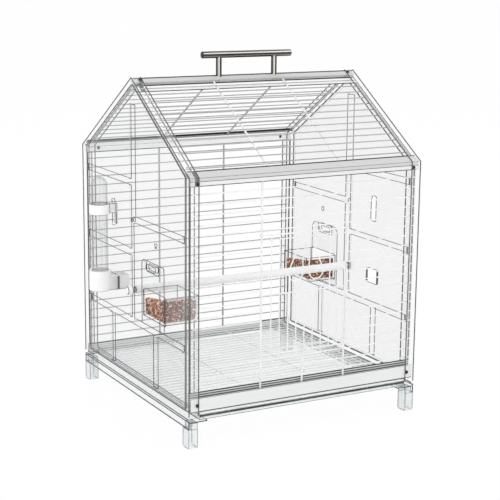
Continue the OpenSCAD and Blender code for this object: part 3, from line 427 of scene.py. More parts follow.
def streaked_steel(name, tone, stretch):
    """Polished steel with broad dark and pale streaks: brushing marks, and painted reflections in their
    strong contrast.
    """
    mat, tree, shader = new_material(name)
    streak = noise(tree, 1, 2, object_space(tree, stretch))
    steps = ((0.36, 0.08), (0.43, 0.6), (0.5, 2.2), (0.56, 0.5), (0.66, 1.8))
    tones = [(stop, shade(tone, factor)) for stop, factor in steps]
    paint(tree, shader, tones, streak, (0.15, 0.4), streak)
    shader.inputs["Metallic"].default_value = 0.85
    bump(tree, shader, streak, 0.1, 0.0001)
    return mat


def edge_shade_line(name, dark, pale, body):
    """Painted shade: the dark line that a polished clear edge shows by refraction, paler in places."""
    mat, tree, shader = new_material(name)
    flow = noise(tree, 16, 4, object_space(tree))
    paint(tree, shader, [(0.38, dark), (0.62, pale)], flow, (0.1, 0.3), flow)
    shader.inputs["Alpha"].default_value = body
    return mat


def coated_wire(name, tone):
    """Powder coating over wire."""
    mat, tree, shader = new_material(name)
    space = object_space(tree)
    grain = noise(tree, 900, 2, space)
    paint(tree, shader, around(tone, 0.93, 1.05), noise(tree, 30, 2, space), (0.28, 0.46), grain)
    bump(tree, shader, grain, 0.25, 0.0001)
    return mat


def drawn_metal(name, tone, metallic, contrast, rough, lit=0.0):
    """Metal with fine marks along X, and the light that a hollow rail throws back inside."""
    mat, tree, shader = new_material(name)
    marks = noise(tree, 1, 4, object_space(tree, (8, 900, 900)))
    tones = [(0.25, shade(tone, 1 - contrast)), (0.5, tuple(tone)), (0.75, shade(tone, 1 + contrast))]
    paint(tree, shader, tones, marks, rough, marks)
    shader.inputs["Metallic"].default_value = metallic
    shader.inputs["Emission Color"].default_value = (*tone, 1)
    shader.inputs["Emission Strength"].default_value = lit
    bump(tree, shader, marks, 0.1, 0.0001)
    return mat


def ribbed_metal(name, tone, dark, pale):
    """Beaded inner wall of a base rail: paler lines along X."""
    mat, tree, shader = new_material(name)
    beads = grow(tree, "ShaderNodeTexWave", {
        "Scale": 90, "Distortion": 0.6, "Detail": 1, "Vector": object_space(tree, (0.04, 1, 1))},
        bands_direction="Z").outputs["Fac"]
    paint(tree, shader, around(tone, dark, pale, (0.25, 0.8)), beads, (0.3, 0.5), beads)
    bump(tree, shader, beads, 0.4, 0.0004)
    return mat


def moulded(name, tone, rough=(0.3, 0.45), scale=260, body=1.0):
    """Opaque or milky moulded plastic with a fine texture."""
    mat, tree, shader = new_material(name)
    space = object_space(tree)
    fine = noise(tree, scale, 3, space)
    paint(tree, shader, around(tone, 0.95, 1.04), noise(tree, 14, 2, space), rough, fine)
    shader.inputs["Alpha"].default_value = body
    bump(tree, shader, fine, 0.2, 0.0002)
    return mat


def seed_husk(name, red, pale, dark):
    """Husks whose colour changes from grain to grain."""
    mat, tree, shader = new_material(name)
    tone = grow(tree, "ShaderNodeAttribute", {}, attribute_name="tone").outputs["Fac"]
    streak = noise(tree, 1800, 2, object_space(tree))
    tones = [
        (0.0, tuple(dark)), (0.32, tuple(dark)), (0.36, shade(red, 0.7)), (0.52, tuple(red)),
        (0.66, shade(red, 1.5)), (0.7, tuple(pale)), (1.0, shade(pale, 1.15)),
    ]
    paint(tree, shader, tones, tone, (0.35, 0.6), streak)
    bump(tree, shader, streak, 0.3, 0.0002)
    return mat


def recipe(name):
    """The maker of the named finish and what it takes."""
    tone = colours()
    satin = (0.3, 0.45)
    return {
        "clear plastic": (clear_plastic, tone.clear, tone.clear_body),
        "frame plastic": (clear_plastic, tone.ring, tone.ring_body),
        "clear sheet": (clear_plastic, tone.sheet, tone.sheet_body),
        "base plastic": (clear_plastic, tone.base, tone.base_body),
        "foot plastic": (clear_plastic, tone.foot, tone.foot_body),
        "tube plastic": (tube_plastic, tone.clear, tone.clear_body, tone.tube_side_shade),
        # painted shade along polished clear edges, sharp and soft
        "clear line": (edge_shade_line, tone.edge_shade_dark, tone.edge_shade_pale, tone.edge_shade_body),
        "soft line": (edge_shade_line, shade(tone.edge_shade_pale, 1.5), shade(tone.edge_shade_pale, 4), 0.7),
        "white wire": (coated_wire, tone.wire),
        # painted shade: darker copy of the white wire
        "back wire": (coated_wire, tone.wire_shaded),
        # grey rail and its paler copies: painted light, the lit rail glowing as well
        "grey rail": (drawn_metal, tone.rail, 0.0, 0.04, satin),
        "pale rail": (drawn_metal, tone.rail_face, 0.0, 0.04, satin),
        "lit rail": (drawn_metal, tone.rail_face, 0.0, 0.06, satin, 0.3),
        # dark tone for painted shade, and for the rails' dark marks
        "rail line": (drawn_metal, tone.rail_line, 0.0, 0.2, satin),
        "rail groove": (ribbed_metal, tone.rail_groove, 0.35, 2.6),
        "back groove": (ribbed_metal, tone.rail_back, 0.8, 1.2),
        "bar steel": (streaked_steel, tone.steel, (5, 330, 330)),
        "post steel": (streaked_steel, tone.steel, (420, 420, 6)),
        "dark steel": (drawn_metal, tone.steel_dark, 0.3, 0.3, (0.2, 0.4)),
        "pale steel": (drawn_metal, tone.steel_pale, 0.2, 0.08, (0.2, 0.4)),
        # painted shade on the handle's ends
        "steel end": (drawn_metal, tone.steel_end, 0.5, 0.2, (0.3, 0.5)),
        "screw steel": (drawn_metal, tone.screw, 0.4, 0.2, (0.3, 0.5)),
        "tray plastic": (moulded, tone.tray, (0.15, 0.3), 120, tone.tray_body),
        "white plastic": (moulded, tone.white),
        "perch plastic": (moulded, tone.perch, (0.5, 0.7), 700),
        "seed": (seed_husk, tone.seed, tone.seed_pale, tone.seed_dark),
    }[name]


FINISHES = {}


def finish(name):
    """The named finish, made once."""
    if name not in FINISHES:
        maker, *settings = recipe(name)
        FINISHES[name] = maker(name, *settings)
    return FINISHES[name]


# meshes

# bends in degrees: a sharper edge gets a bevel or a line, a rounder one is shaded as a curve, and faces
# flatter than the last are joined
SHARP_BEND = 28.0
ROUND_BEND = 38.0
FLAT_BEND = 0.6

SAME_PLACE = 2e-6
PARALLEL = 0.999
FOLD_LIMIT = 0.001


def plain_mesh(name, bm):
    """Turns a bmesh into a mesh and frees it."""
    mesh = bpy.data.meshes.new(name)
    bm.to_mesh(mesh)
    bm.free()
    return mesh


def in_order(bm):
    """Lists vertices and faces by their place, since cuts and spheres list theirs in no fixed order."""
    corners = sorted(bm.verts, key=lambda v: tuple(v.co))
    faces = sorted(bm.faces, key=lambda f: tuple(f.calc_center_median()))
    for items, ordered in ((bm.verts, corners), (bm.faces, faces)):
        items.sort(key={item: i for i, item in enumerate(ordered)}.get)


def linked(name, data):
    """A new object in the scene."""
    obj = bpy.data.objects.new(name, data)
    bpy.context.scene.collection.objects.link(obj)
    return obj


def piece(name, bm, finishes, body, nodes, smooth=False):
    """Turns a bmesh into an object that rides on a body in place of its nodes."""
    in_order(bm)
    mesh = plain_mesh(name, bm)
    for finish_name in finishes:
        mesh.materials.append(finish(finish_name))
    if smooth:
        mesh.shade_smooth()
        mesh.set_sharp_from_angle(angle=math.radians(ROUND_BEND))
    settle(name, mesh, body, nodes)


def settle(name, mesh, body, nodes):
    """Puts a finished mesh in the scene, riding on a body in place of its node or nodes."""
    obj = linked(name, mesh)
    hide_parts(*((nodes,) if isinstance(nodes, str) else nodes))
    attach(obj, body)


def node_copy(node):
    """A welded copy of a node's mesh with its flat faces joined."""
    bm = bmesh.new()
    bm.from_mesh(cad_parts[node].data)
    bmesh.ops.remove_doubles(bm, verts=bm.verts, dist=SAME_PLACE)
    bmesh.ops.dissolve_limit(bm, angle_limit=math.radians(FLAT_BEND), verts=bm.verts, edges=bm.edges)
    bm.normal_update()
    return bm


def sharp_edges(bm, least, shortest):
    """The edges bent by more than the least angle, in degrees, and longer than the shortest."""
    bend = math.radians(least)
    pairs = [e for e in bm.edges if len(e.link_faces) == 2]
    return [e for e in pairs if e.calc_face_angle(0) > bend and e.calc_length() > shortest]


def folded(bm):
    """How much larger the drawn triangles are than the faces: over 0 where a face folds over."""
    plain = sum(face.calc_area() for face in bm.faces)
    triangles = bm.copy()
    bmesh.ops.triangulate(triangles, faces=triangles.faces)
    drawn = sum(face.calc_area() for face in triangles.faces)
    triangles.free()
    return drawn / plain - 1


def ease_edges(bm, width, index=0, least=SHARP_BEND, shortest=0.0):
    """Bevels the sharp edges, more narrowly where a face would fold over."""
    for part in (1.0, 0.6, 0.3):
        trial = bm.copy()
        bmesh.ops.bevel(
            trial, geom=sharp_edges(trial, least, shortest), offset=width * part, offset_type="OFFSET",
            segments=1, profile=0.5, affect="EDGES", clamp_overlap=False, material=index)
        if folded(trial) < FOLD_LIMIT:
            bm.free()
            return trial
        trial.free()
    return bm


def spread_out(edges, apart):
    """Of edges that run side by side closer than this, only the longest."""
    kept = []
    for edge in sorted(edges, key=lambda e: -round(e.calc_length(), 6)):
        start, stop = (v.co for v in edge.verts)
        middle = (start + stop) / 2
        way = (stop - start).normalized()
        for other, first, run in kept:
            off = middle - first
            along = off.dot(other)
            beside = 0 <= along <= run and (off - other * along).length < apart
            if beside and abs(way.dot(other)) > PARALLEL:
                break
        else:
            kept.append((way, start.copy(), (stop - start).length))
            yield edge


def shade_edges(bm, radius, index, least, shortest, bold=False):
    """Thin rods just inside the sharp edges: painted shade for the dark lines that polished clear edges
    show by refraction.
    """
    size = sizes()
    apart = size.line_apart if radius == size.line else size.fine_apart
    for edge in list(spread_out(sharp_edges(bm, least, shortest), apart)):
        first, second = (face.normal for face in edge.link_faces)
        inward = -(first + second).normalized()
        run = edge.calc_length()
        rise = abs(edge.verts[0].co.z - edge.verts[1].co.z)
        is_bold = bold and rise > PARALLEL * run and size.bold_from < run < size.bold_to
        wide = radius * (size.bold if is_bold else 1)
        start, stop = (v.co + inward * wide * size.line_depth for v in edge.verts)
        side = (stop - start).normalized().cross(inward)
        ways = [way * wide for way in (inward, side, -inward, -side)]
        near, far = ([bm.verts.new(p + way) for way in ways] for p in (start, stop))
        faces = [(near[k], far[k], far[k - 1], near[k - 1]) for k in range(4)]
        for corners in faces + [near[::-1], far]:
            bm.faces.new(corners).material_index = index


def clear_piece(name, node, body, radius, finishes, shortest, least=SHARP_BEND, bold=False):
    """A clear node with rods of painted shade along its polished edges."""
    bm = node_copy(node)
    shade_edges(bm, radius, 1, least, shortest, bold)
    piece(name, bm, finishes, body, node)


def cut(bm, axis, place):
    """Cuts every face at this place along the axis."""
    way = Vector((axis == "X", axis == "Y", axis == "Z"))
    whole = bm.verts[:] + bm.edges[:] + bm.faces[:]
    bmesh.ops.bisect_plane(bm, geom=whole, dist=1e-6, plane_co=way * place, plane_no=way)


def merge(bm, other, matrix=None):
    """Adds a second bmesh, moved by the matrix, and frees it."""
    if matrix is not None:
        bmesh.ops.transform(other, matrix=matrix, verts=other.verts)
        if matrix.determinant() < 0:
            bmesh.ops.reverse_faces(other, faces=other.faces)
    mesh = plain_mesh("part", other)
    bm.from_mesh(mesh)
    bpy.data.meshes.remove(mesh)


def rounded_ends(points, radius):
    """Points and radii of a wire whose two ends are domed."""
    steps = [(1.0, 0.25), (0.85, 0.55), (0.5, 0.87), (0.0, 1.0)]
    first = (points[0] - points[1]).normalized() * radius
    last = (points[-1] - points[-2]).normalized() * radius
    head = [(points[0] + first * (along - 1), wide * radius) for along, wide in steps]
    tail = [(points[-1] + last * (along - 1), wide * radius) for along, wide in reversed(steps)]
    return head + [(p, radius) for p in points[1:-1]] + tail


def round_turn(sides):
    """Angles at even steps round a full turn."""
    return [2 * math.pi * k / sides for k in range(sides)]


def tube(points, radius, sides=12, closed=False):
    """A round wire along the points."""
    points = [Vector(p) for p in points]
    stations = [(p, radius) for p in points] if closed else rounded_ends(points, radius)
    count = len(stations)
    bm = bmesh.new()
    rings = []
    up = None
    for i, (p, r) in enumerate(stations):
        before = stations[i - 1][0] if i or closed else p
        after = stations[(i + 1) % count][0] if i < count - 1 or closed else p
        along = (after - before).normalized()
        up = along.orthogonal().normalized() if up is None else (up - along * up.dot(along)).normalized()
        side = along.cross(up)
        ways = [up * math.cos(a) + side * math.sin(a) for a in round_turn(sides)]
        rings.append([bm.verts.new(p + way * r) for way in ways])
    for i in range(count if closed else count - 1):
        a, b = rings[i], rings[(i + 1) % count]
        for k in range(sides):
            bm.faces.new((a[k], a[(k + 1) % sides], b[(k + 1) % sides], b[k]))
    if not closed:
        bm.faces.new(rings[0][::-1])
        bm.faces.new(rings[-1])
    bmesh.ops.recalc_face_normals(bm, faces=bm.faces)
    return bm


def turned(profile, origin, axis, sides=48):
    """A body of revolution. Its profile is (distance along the axis, radius) and either starts and ends on
    the axis or closes on itself."""
    axis = Vector(axis).normalized()
    up = axis.orthogonal().normalized()
    side = axis.cross(up)
    around_axis = [up * math.cos(a) + side * math.sin(a) for a in round_turn(sides)]
    bm = bmesh.new()
    rings = []
    for along, radius in profile:
        centre = Vector(origin) + axis * along
        ways = [way * radius for way in around_axis] if radius > 0 else [Vector()]
        rings.append([bm.verts.new(centre + way) for way in ways])
    if len(rings[0]) > 1:
        rings.append(rings[0])
    for a, b in zip(rings, rings[1:]):
        if len(a) + len(b) > 2:
            for k in range(sides):
                corners = (a[k % len(a)], a[(k + 1) % len(a)], b[(k + 1) % len(b)], b[k % len(b)])
                bm.faces.new(list(dict.fromkeys(corners)))
    bmesh.ops.recalc_face_normals(bm, faces=bm.faces)
    return bm


def soft_curve(points, steps=5):
    """Points on a smooth curve through the given ones."""
    pts = [Vector(p) for p in points]
    pts = [pts[0]] + pts + [pts[-1]]
    out = []
    for a, b, c, d in zip(pts, pts[1:], pts[2:], pts[3:]):
        first, second, third = c - a, 2 * a - 5 * b + 4 * c - d, 3 * b - a - 3 * c + d
        for t in (s / steps for s in range(steps)):
            out.append((2 * b + first * t + second * t ** 2 + third * t ** 3) / 2)
    return out + [pts[-1]]


# geometry nodes


def node_group(name, inputs):
    """A Geometry Nodes tree with the named inputs, and its input node."""
    tree = bpy.data.node_groups.new(name, "GeometryNodeTree")
    sockets = [("Geometry", "NodeSocketGeometry")] + inputs + [("Finish", "NodeSocketMaterial")]
    for label, kind in sockets:
        tree.interface.new_socket(label, in_out="INPUT", socket_type=kind)
    tree.interface.new_socket("Geometry", in_out="OUTPUT", socket_type="NodeSocketGeometry")
    return tree, tree.nodes.new("NodeGroupInput")


def close_tree(tree, source, instances):
    """Ends a tree: real geometry with its finish."""
    real = grow(tree, "GeometryNodeRealizeInstances", {"Geometry": instances})
    coat = grow(tree, "GeometryNodeSetMaterial", {
        "Geometry": real.outputs["Geometry"], "Material": source.outputs["Finish"]})
    grow(tree, "NodeGroupOutput", {"Geometry": coat.outputs["Geometry"]})
    return tree


def row_points(tree, count, axis, spacing):
    """Points in a row along an axis."""
    step = grow(tree, "ShaderNodeCombineXYZ", {axis: spacing}).outputs["Vector"]
    row = grow(tree, "GeometryNodeMeshLine", {"Count": count, "Offset": step}, mode="OFFSET")
    return row.outputs["Mesh"]


def on_points(tree, points, instance, **inputs):
    """Instances on points."""
    links = {"Points": points, "Instance": instance}
    links.update(inputs)
    return grow(tree, "GeometryNodeInstanceOnPoints", links).outputs["Instances"]


def wire_row_tree():
    """Wires along X, repeated along Z."""
    tree, source = node_group("Wire row", [
        ("Count", "NodeSocketInt"), ("Spacing", "NodeSocketFloat"), ("Length", "NodeSocketFloat"),
        ("Radius", "NodeSocketFloat")])
    put = source.outputs
    row = row_points(tree, put["Count"], "Z", put["Spacing"])
    far = grow(tree, "ShaderNodeCombineXYZ", {"X": put["Length"]})
    line = grow(tree, "GeometryNodeCurvePrimitiveLine", {"End": far.outputs["Vector"]})
    ring = grow(tree, "GeometryNodeCurvePrimitiveCircle", {"Resolution": 12, "Radius": put["Radius"]})
    wire = grow(tree, "GeometryNodeCurveToMesh", {
        "Curve": line.outputs["Curve"], "Profile Curve": ring.outputs["Curve"], "Fill Caps": True})
    return close_tree(tree, source, on_points(tree, row, wire.outputs["Mesh"]))


def weld_tree():
    """Beads on a grid of columns along X and rows along Z."""
    tree, source = node_group("Spot welds", [
        ("Columns", "NodeSocketInt"), ("Column spacing", "NodeSocketFloat"), ("Rows", "NodeSocketInt"),
        ("Row spacing", "NodeSocketFloat"), ("Radius", "NodeSocketFloat")])
    put = source.outputs
    columns = row_points(tree, put["Columns"], "X", put["Column spacing"])
    rows = row_points(tree, put["Rows"], "Z", put["Row spacing"])
    bead = grow(tree, "GeometryNodeMeshIcoSphere", {"Subdivisions": 1, "Radius": put["Radius"]})
    column = on_points(tree, rows, bead.outputs["Mesh"])
    return close_tree(tree, source, on_points(tree, columns, column))


def grain_tree():
    """Grains of seed scattered over the start mesh, each with its own tone."""
    tree, source = node_group("Seed grains", [
        ("Density", "NodeSocketFloat"), ("Length", "NodeSocketFloat"), ("Seed", "NodeSocketInt")])
    put = source.outputs
    scatter = grow(tree, "GeometryNodeDistributePointsOnFaces", {
        "Mesh": put["Geometry"], "Density": put["Density"], "Seed": put["Seed"]},
        distribute_method="RANDOM")
    ball = grow(tree, "GeometryNodeMeshIcoSphere", {"Subdivisions": 1, "Radius": put["Length"]})
    grain = grow(tree, "GeometryNodeTransform", {
        "Geometry": ball.outputs["Mesh"], "Scale": (0.5, 0.34, 0.26)})
    lean = grow(tree, "FunctionNodeRandomValue", {
        "Min": (-0.5, -0.5, -math.pi), "Max": (0.5, 0.5, math.pi), "Seed": 3}, data_type="FLOAT_VECTOR")
    turn = grow(tree, "FunctionNodeRotateEuler", {
        "Rotation": scatter.outputs["Rotation"], "Rotate By": lean.outputs["Value"]}, space="LOCAL")
    growth = grow(tree, "FunctionNodeRandomValue", {"Min": 0.75, "Max": 1.0, "Seed": 5}, data_type="FLOAT")
    place = on_points(
        tree, scatter.outputs["Points"], grain.outputs["Geometry"],
        Rotation=turn.outputs["Rotation"], Scale=growth.outputs["Value"])
    tone = grow(tree, "FunctionNodeRandomValue", {"Seed": 11}, data_type="FLOAT")
    store = grow(tree, "GeometryNodeStoreNamedAttribute", {
        "Geometry": place, "Name": "tone", "Value": tone.outputs["Value"]},
        data_type="FLOAT", domain="INSTANCE")
    real = grow(tree, "GeometryNodeRealizeInstances", {"Geometry": store.outputs["Geometry"]})
    both = tree.nodes.new("GeometryNodeJoinGeometry")
    tree.links.new(put["Geometry"], both.inputs["Geometry"])
    tree.links.new(real.outputs["Geometry"], both.inputs["Geometry"])
    return close_tree(tree, source, both.outputs["Geometry"])


def screw_tree():
    """Screw heads on points that carry the direction of their axis."""
    tree, source = node_group("Screw heads", [("Head", "NodeSocketObject")])
    put = source.outputs
    head = grow(tree, "GeometryNodeObjectInfo", {"Object": put["Head"]})
    way = grow(tree, "GeometryNodeInputNamedAttribute", {"Name": "axis"}, data_type="FLOAT_VECTOR")
    turn = grow(tree, "FunctionNodeAlignRotationToVector", {"Vector": way.outputs["Attribute"]}, axis="Z")
    place = on_points(tree, put["Geometry"], head.outputs["Geometry"], Rotation=turn.outputs["Rotation"])
    return close_tree(tree, source, place)


TREES = {}


def run_tree(maker, values, finish_name, start=None):
    """Runs a Geometry Nodes tree on a start mesh and returns the result as a plain mesh."""
    if maker not in TREES:
        TREES[maker] = maker()
    tree = TREES[maker]
    start = start or bpy.data.meshes.new("start")
    holder = linked("holder", start)
    modifier = holder.modifiers.new("build", "NODES")
    modifier.node_group = tree
    values = dict(values, Finish=finish(finish_name))
    for item in tree.interface.items_tree:
        if item.in_out == "INPUT" and item.name in values:
            modifier[item.identifier] = values[item.name]
    depsgraph = bpy.context.evaluated_depsgraph_get()
    mesh = bpy.data.meshes.new_from_object(holder.evaluated_get(depsgraph), depsgraph=depsgraph)
    holder.modifiers.remove(modifier)
    bpy.data.objects.remove(holder)
    bpy.data.meshes.remove(start)
    return mesh


def add_mesh(bm, mesh, matrix):
    """Adds a mesh, moved by the matrix, to the bmesh and removes it."""
    other = bmesh.new()
    other.from_mesh(mesh)
    bpy.data.meshes.remove(mesh)
    merge(bm, other, matrix)


# a row's own wires lie along X and repeat along Z, and these turn it
ACROSS = Matrix.Identity(4)
UPRIGHT = Matrix(((0, 0, 1, 0), (0, -1, 0, 0), (1, 0, 0, 0), (0, 0, 0, 1)))
FLAT = Matrix(((1, 0, 0, 0), (0, 0, 1, 0), (0, -1, 0, 0), (0, 0, 0, 1)))


def wire_row(bm, start, count, spacing, run, radius, turn=ACROSS):
    values = {"Count": count, "Spacing": spacing, "Length": run, "Radius": radius}
    add_mesh(bm, run_tree(wire_row_tree, values, "white wire"), Matrix.Translation(start) @ turn)


def weld_grid(bm, start, columns, column_spacing, rows, row_spacing, turn=ACROSS):
    values = {
        "Columns": columns, "Column spacing": column_spacing, "Rows": rows, "Row spacing": row_spacing,
        "Radius": sizes().weld}
    add_mesh(bm, run_tree(weld_tree, values, "white wire"), Matrix.Translation(start) @ turn)


# operators


class CARRIER_OT_gables(bpy.types.Operator):
    """Clear gable frames and ribbed panels with painted shade along their polished edges"""
    bl_idname = "carrier.gables"
    bl_label = "Gables"

    def execute(self, context):
        size = sizes()
        for side in ("left", "right"):
            clear_piece("gable_ring_" + side, "gable_frame_" + side, "cabin", size.line,
                        ["frame plastic", "clear line"], size.ring_edge)
            clear_piece("gable_sheet_" + side, "gable_panel_" + side, "cabin",
                        size.fine_line, ["clear sheet", "clear line"], size.sheet_edge, least=20, bold=True)
        return {"FINISHED"}


class CARRIER_OT_rails(bpy.types.Operator):
    """Ridge, eave and base rails with painted shade along their edges and gaps, painted light on their
    faces, and beaded inner walls
    """
    bl_idname = "carrier.rails"
    bl_label = "Rails"

    # places of the five finishes in a rail's list of materials
    grey, dark, groove, pale, lit = range(5)

    def execute(self, context):
        for place in ("ridge", "front_eave", "back_eave", "front_base", "back_base"):
            self.rail(place + "_rail")
        return {"FINISHED"}

    def rail(self, node):
        size = sizes()
        low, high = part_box(node)
        is_ridge = node == "ridge_rail"
        wide = size.ridge_eased if is_ridge else size.eased
        # The long eased edges take the dark finish: painted shade along them, widest on the ridge
        bm = ease_edges(node_copy(node), wide, self.dark, shortest=(high.x - low.x) / 2)
        self.faces(bm, node, low, high)
        # painted shade strips along the bottom and top edges
        top = size.back_shade_strip if node == "back_eave_rail" else size.seam
        self.shade_strips(bm, (low.z + size.seam, high.z - top))
        if node == "front_eave_rail":
            self.eave_shade(bm, low.y)
        if is_ridge:
            self.ridge_shade(bm, high.z - size.ridge_band)
        if node in ("ridge_rail", "front_eave_rail"):
            self.tip(bm)
        if node == "back_eave_rail":
            self.marks(bm, low, high)
        beads = "rail groove" if low.y < 0 else "back groove"
        finishes = ["grey rail", "rail line", beads, "pale rail", "lit rail"]
        piece(node.replace("_rail", "_bar"), bm, finishes, "cabin", node)

    def faces(self, bm, node, low, high):
        """Gives the flat faces their finish by the way they face: beaded inner walls on the base rails,
        painted shade under the front eave rail, and painted light on upright and downward faces.
        """
        middle = (low.y + high.y) / 2
        for face in bm.faces:
            inner = (face.calc_center_median().y > middle) == (low.y < 0)
            if face.material_index == self.grey:
                if "base" in node and inner:
                    face.material_index = self.groove
                # painted shade on the front eave rail's underside
                elif node == "front_eave_rail" and face.normal.z < -0.4:
                    face.material_index = self.dark
                elif face.normal.z < 0.3:
                    bright = node in ("ridge_rail", "back_eave_rail")
                    face.material_index = self.lit if bright else self.pale

    def shade_strips(self, bm, levels):
        """Cuts the faces at the two levels and paints shade on the strips beyond them."""
        for z in levels:
            cut(bm, "Z", z)
        for face in bm.faces:
            z = face.calc_center_median().z
            if z < levels[0] or z > levels[1]:
                face.material_index = self.dark

    def eave_shade(self, bm, front):
        """Paints shade on the front eave rail: carries the grey of its roof side a little down its front,
        to a dark line.
        """
        size = sizes()
        line = size.eave - size.eave_shade_band
        stop = line - size.eave_shade_line
        for z in (line, stop):
            cut(bm, "Z", z)
        for face in bm.faces:
            spot = face.calc_center_median()
            if abs(face.normal.z) < 0.3 and spot.y < front + size.seam and spot.z > stop:
                face.material_index = self.dark if spot.z < line else self.grey

    def ridge_shade(self, bm, level):
        """Paints the dark line of shade under the ridge rail's grey top, and painted light on its slopes
        below it.
        """
        line = level - sizes().ridge_shade_line
        for z in (level, line):
            cut(bm, "Z", z)
        for face in bm.faces:
            z = face.calc_center_median().z
            if face.material_index == self.grey and z < level:
                face.material_index = self.dark if z > line else self.lit

    def tip(self, bm):
        """Darkens the rail where it enters the left frame."""
        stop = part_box("gable_frame_left")[1].x
        start = stop - sizes().rail_tip
        for x in (start, stop):
            cut(bm, "X", x)
        for face in bm.faces:
            if start < face.calc_center_median().x < stop:
                face.material_index = self.dark

    def marks(self, bm, low, high):
        """Dark square marks near both ends of the inner side."""
        size = sizes()
        middle = (low.z + min(high.z, size.eave)) / 2
        bottom, top = middle - size.mark / 2, middle + size.mark / 2
        start, stop = low.x + size.mark_in, low.x + size.mark_in + size.mark
        spans = [(start, stop), (low.x + high.x - stop, low.x + high.x - start)]
        for x in (x for span in spans for x in span):
            cut(bm, "X", x)
        for z in (bottom, top):
            cut(bm, "Z", z)
        for face in bm.faces:
            spot = face.calc_center_median()
            if bottom < spot.z < top and any(start < spot.x < stop for start, stop in spans):
                face.material_index = self.dark


class CARRIER_OT_walls(bpy.types.Operator):
    """Welded wire of the two walls and the roof"""
    bl_idname = "carrier.walls"
    bl_label = "Walls and roof"

    def execute(self, context):
        spot = layout()
        self.front(spot)
        self.back(spot)
        self.roof(spot, "front_roof_wires", "front_roof_grille", 1)
        self.roof(spot, "back_roof_wires", "back_roof_grille", -1)
        return {"FINISHED"}

    def front(self, spot):
        size = sizes()
        bm = bmesh.new()
        rows, gap = size.wall_rows, size.wall_spacing
        left, right = spot.wires
        start, stop = spot.doorway
        for x, end, z, count in (
            (left, spot.hinge_x, spot.first_z, rows), (spot.latch_x, right, spot.first_z, rows),
            (start, stop, spot.first_z, spot.sill_rows), (start, stop, spot.top_first, spot.top_rows),
        ):
            wire_row(bm, (x, spot.thin_y, z), count, gap, end - x, size.thin)
        opening = spot.latch_x - spot.hinge_x
        low, high = spot.uprights
        wire_row(bm, (spot.hinge_x, spot.thick_y, low), 2, opening, high - low, size.thick, UPRIGHT)
        low, high = spot.sill_upright
        wire_row(bm, (spot.bar_middle, spot.thick_y, low), 1, 0, high - low, size.thick, UPRIGHT)
        weld_grid(bm, (spot.hinge_x, spot.weld_y, spot.first_z), 2, opening, rows, gap)
        weld_grid(bm, (spot.bar_middle, spot.weld_y, spot.first_z), 1, 0, spot.sill_rows, gap)
        nodes = ["front_grille_" + part for part in ("left", "right", "top", "sill")]
        piece("front_wires", bm, ["white wire"], "cabin", nodes, True)

    def back(self, spot):
        size = sizes()
        low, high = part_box("back_grille")
        bm = bmesh.new()
        gap = size.wall_spacing
        first = spot.first_z - gap
        x = spot.middle - size.cross_spacing / 2
        wire_row(bm, (low.x, -spot.thin_y, first), size.wall_rows + 1, gap, high.x - low.x, size.thin)
        wire_row(bm, (x, -spot.thick_y, low.z), 2, size.cross_spacing, high.z - low.z, size.thick, UPRIGHT)
        weld_grid(bm, (x, -spot.weld_y, first), 2, size.cross_spacing, size.wall_rows + 1, gap)
        # The back wall's wires take the darker copy of the coating: painted shade
        piece("back_wires", bm, ["back wire"], "cabin", "back_grille", True)

    def roof(self, spot, name, node, way):
        size = sizes()
        bm = bmesh.new()
        lean = Matrix.Rotation(spot.slope - math.pi / 2, 4, "X")
        left, right = spot.wires
        x = spot.middle - size.cross_spacing / 2
        rows, gap = size.roof_rows, size.roof_spacing
        thin = on_slope(spot, size.roof_first, size.wire_depth)
        weld = on_slope(spot, size.roof_first, (size.wire_depth + size.thick_depth) / 2)
        thick = on_slope(spot, size.roof_low, size.thick_depth)
        run = spot.run - size.roof_low - size.roof_top
        wire_row(bm, (left, *thin), rows, gap, right - left, size.thin, lean)
        thin_faces = len(bm.faces)
        wire_row(bm, (x, *thick), 2, size.cross_spacing, run, size.thick, lean @ UPRIGHT)
        weld_grid(bm, (x, *weld), 2, size.cross_spacing, rows, gap, lean)
        # Thin wires, and the back slope's thick wires and welds, take the darker copy of the coating:
        # painted shade
        for i, face in enumerate(bm.faces):
            is_white = way > 0 and i >= thin_faces
            face.material_index = int(is_white)
        whole = bmesh.new()
        merge(whole, bm, Matrix.Diagonal((1, way, 1, 1)))
        piece(name, whole, ["back wire", "white wire"], "cabin", node, True)


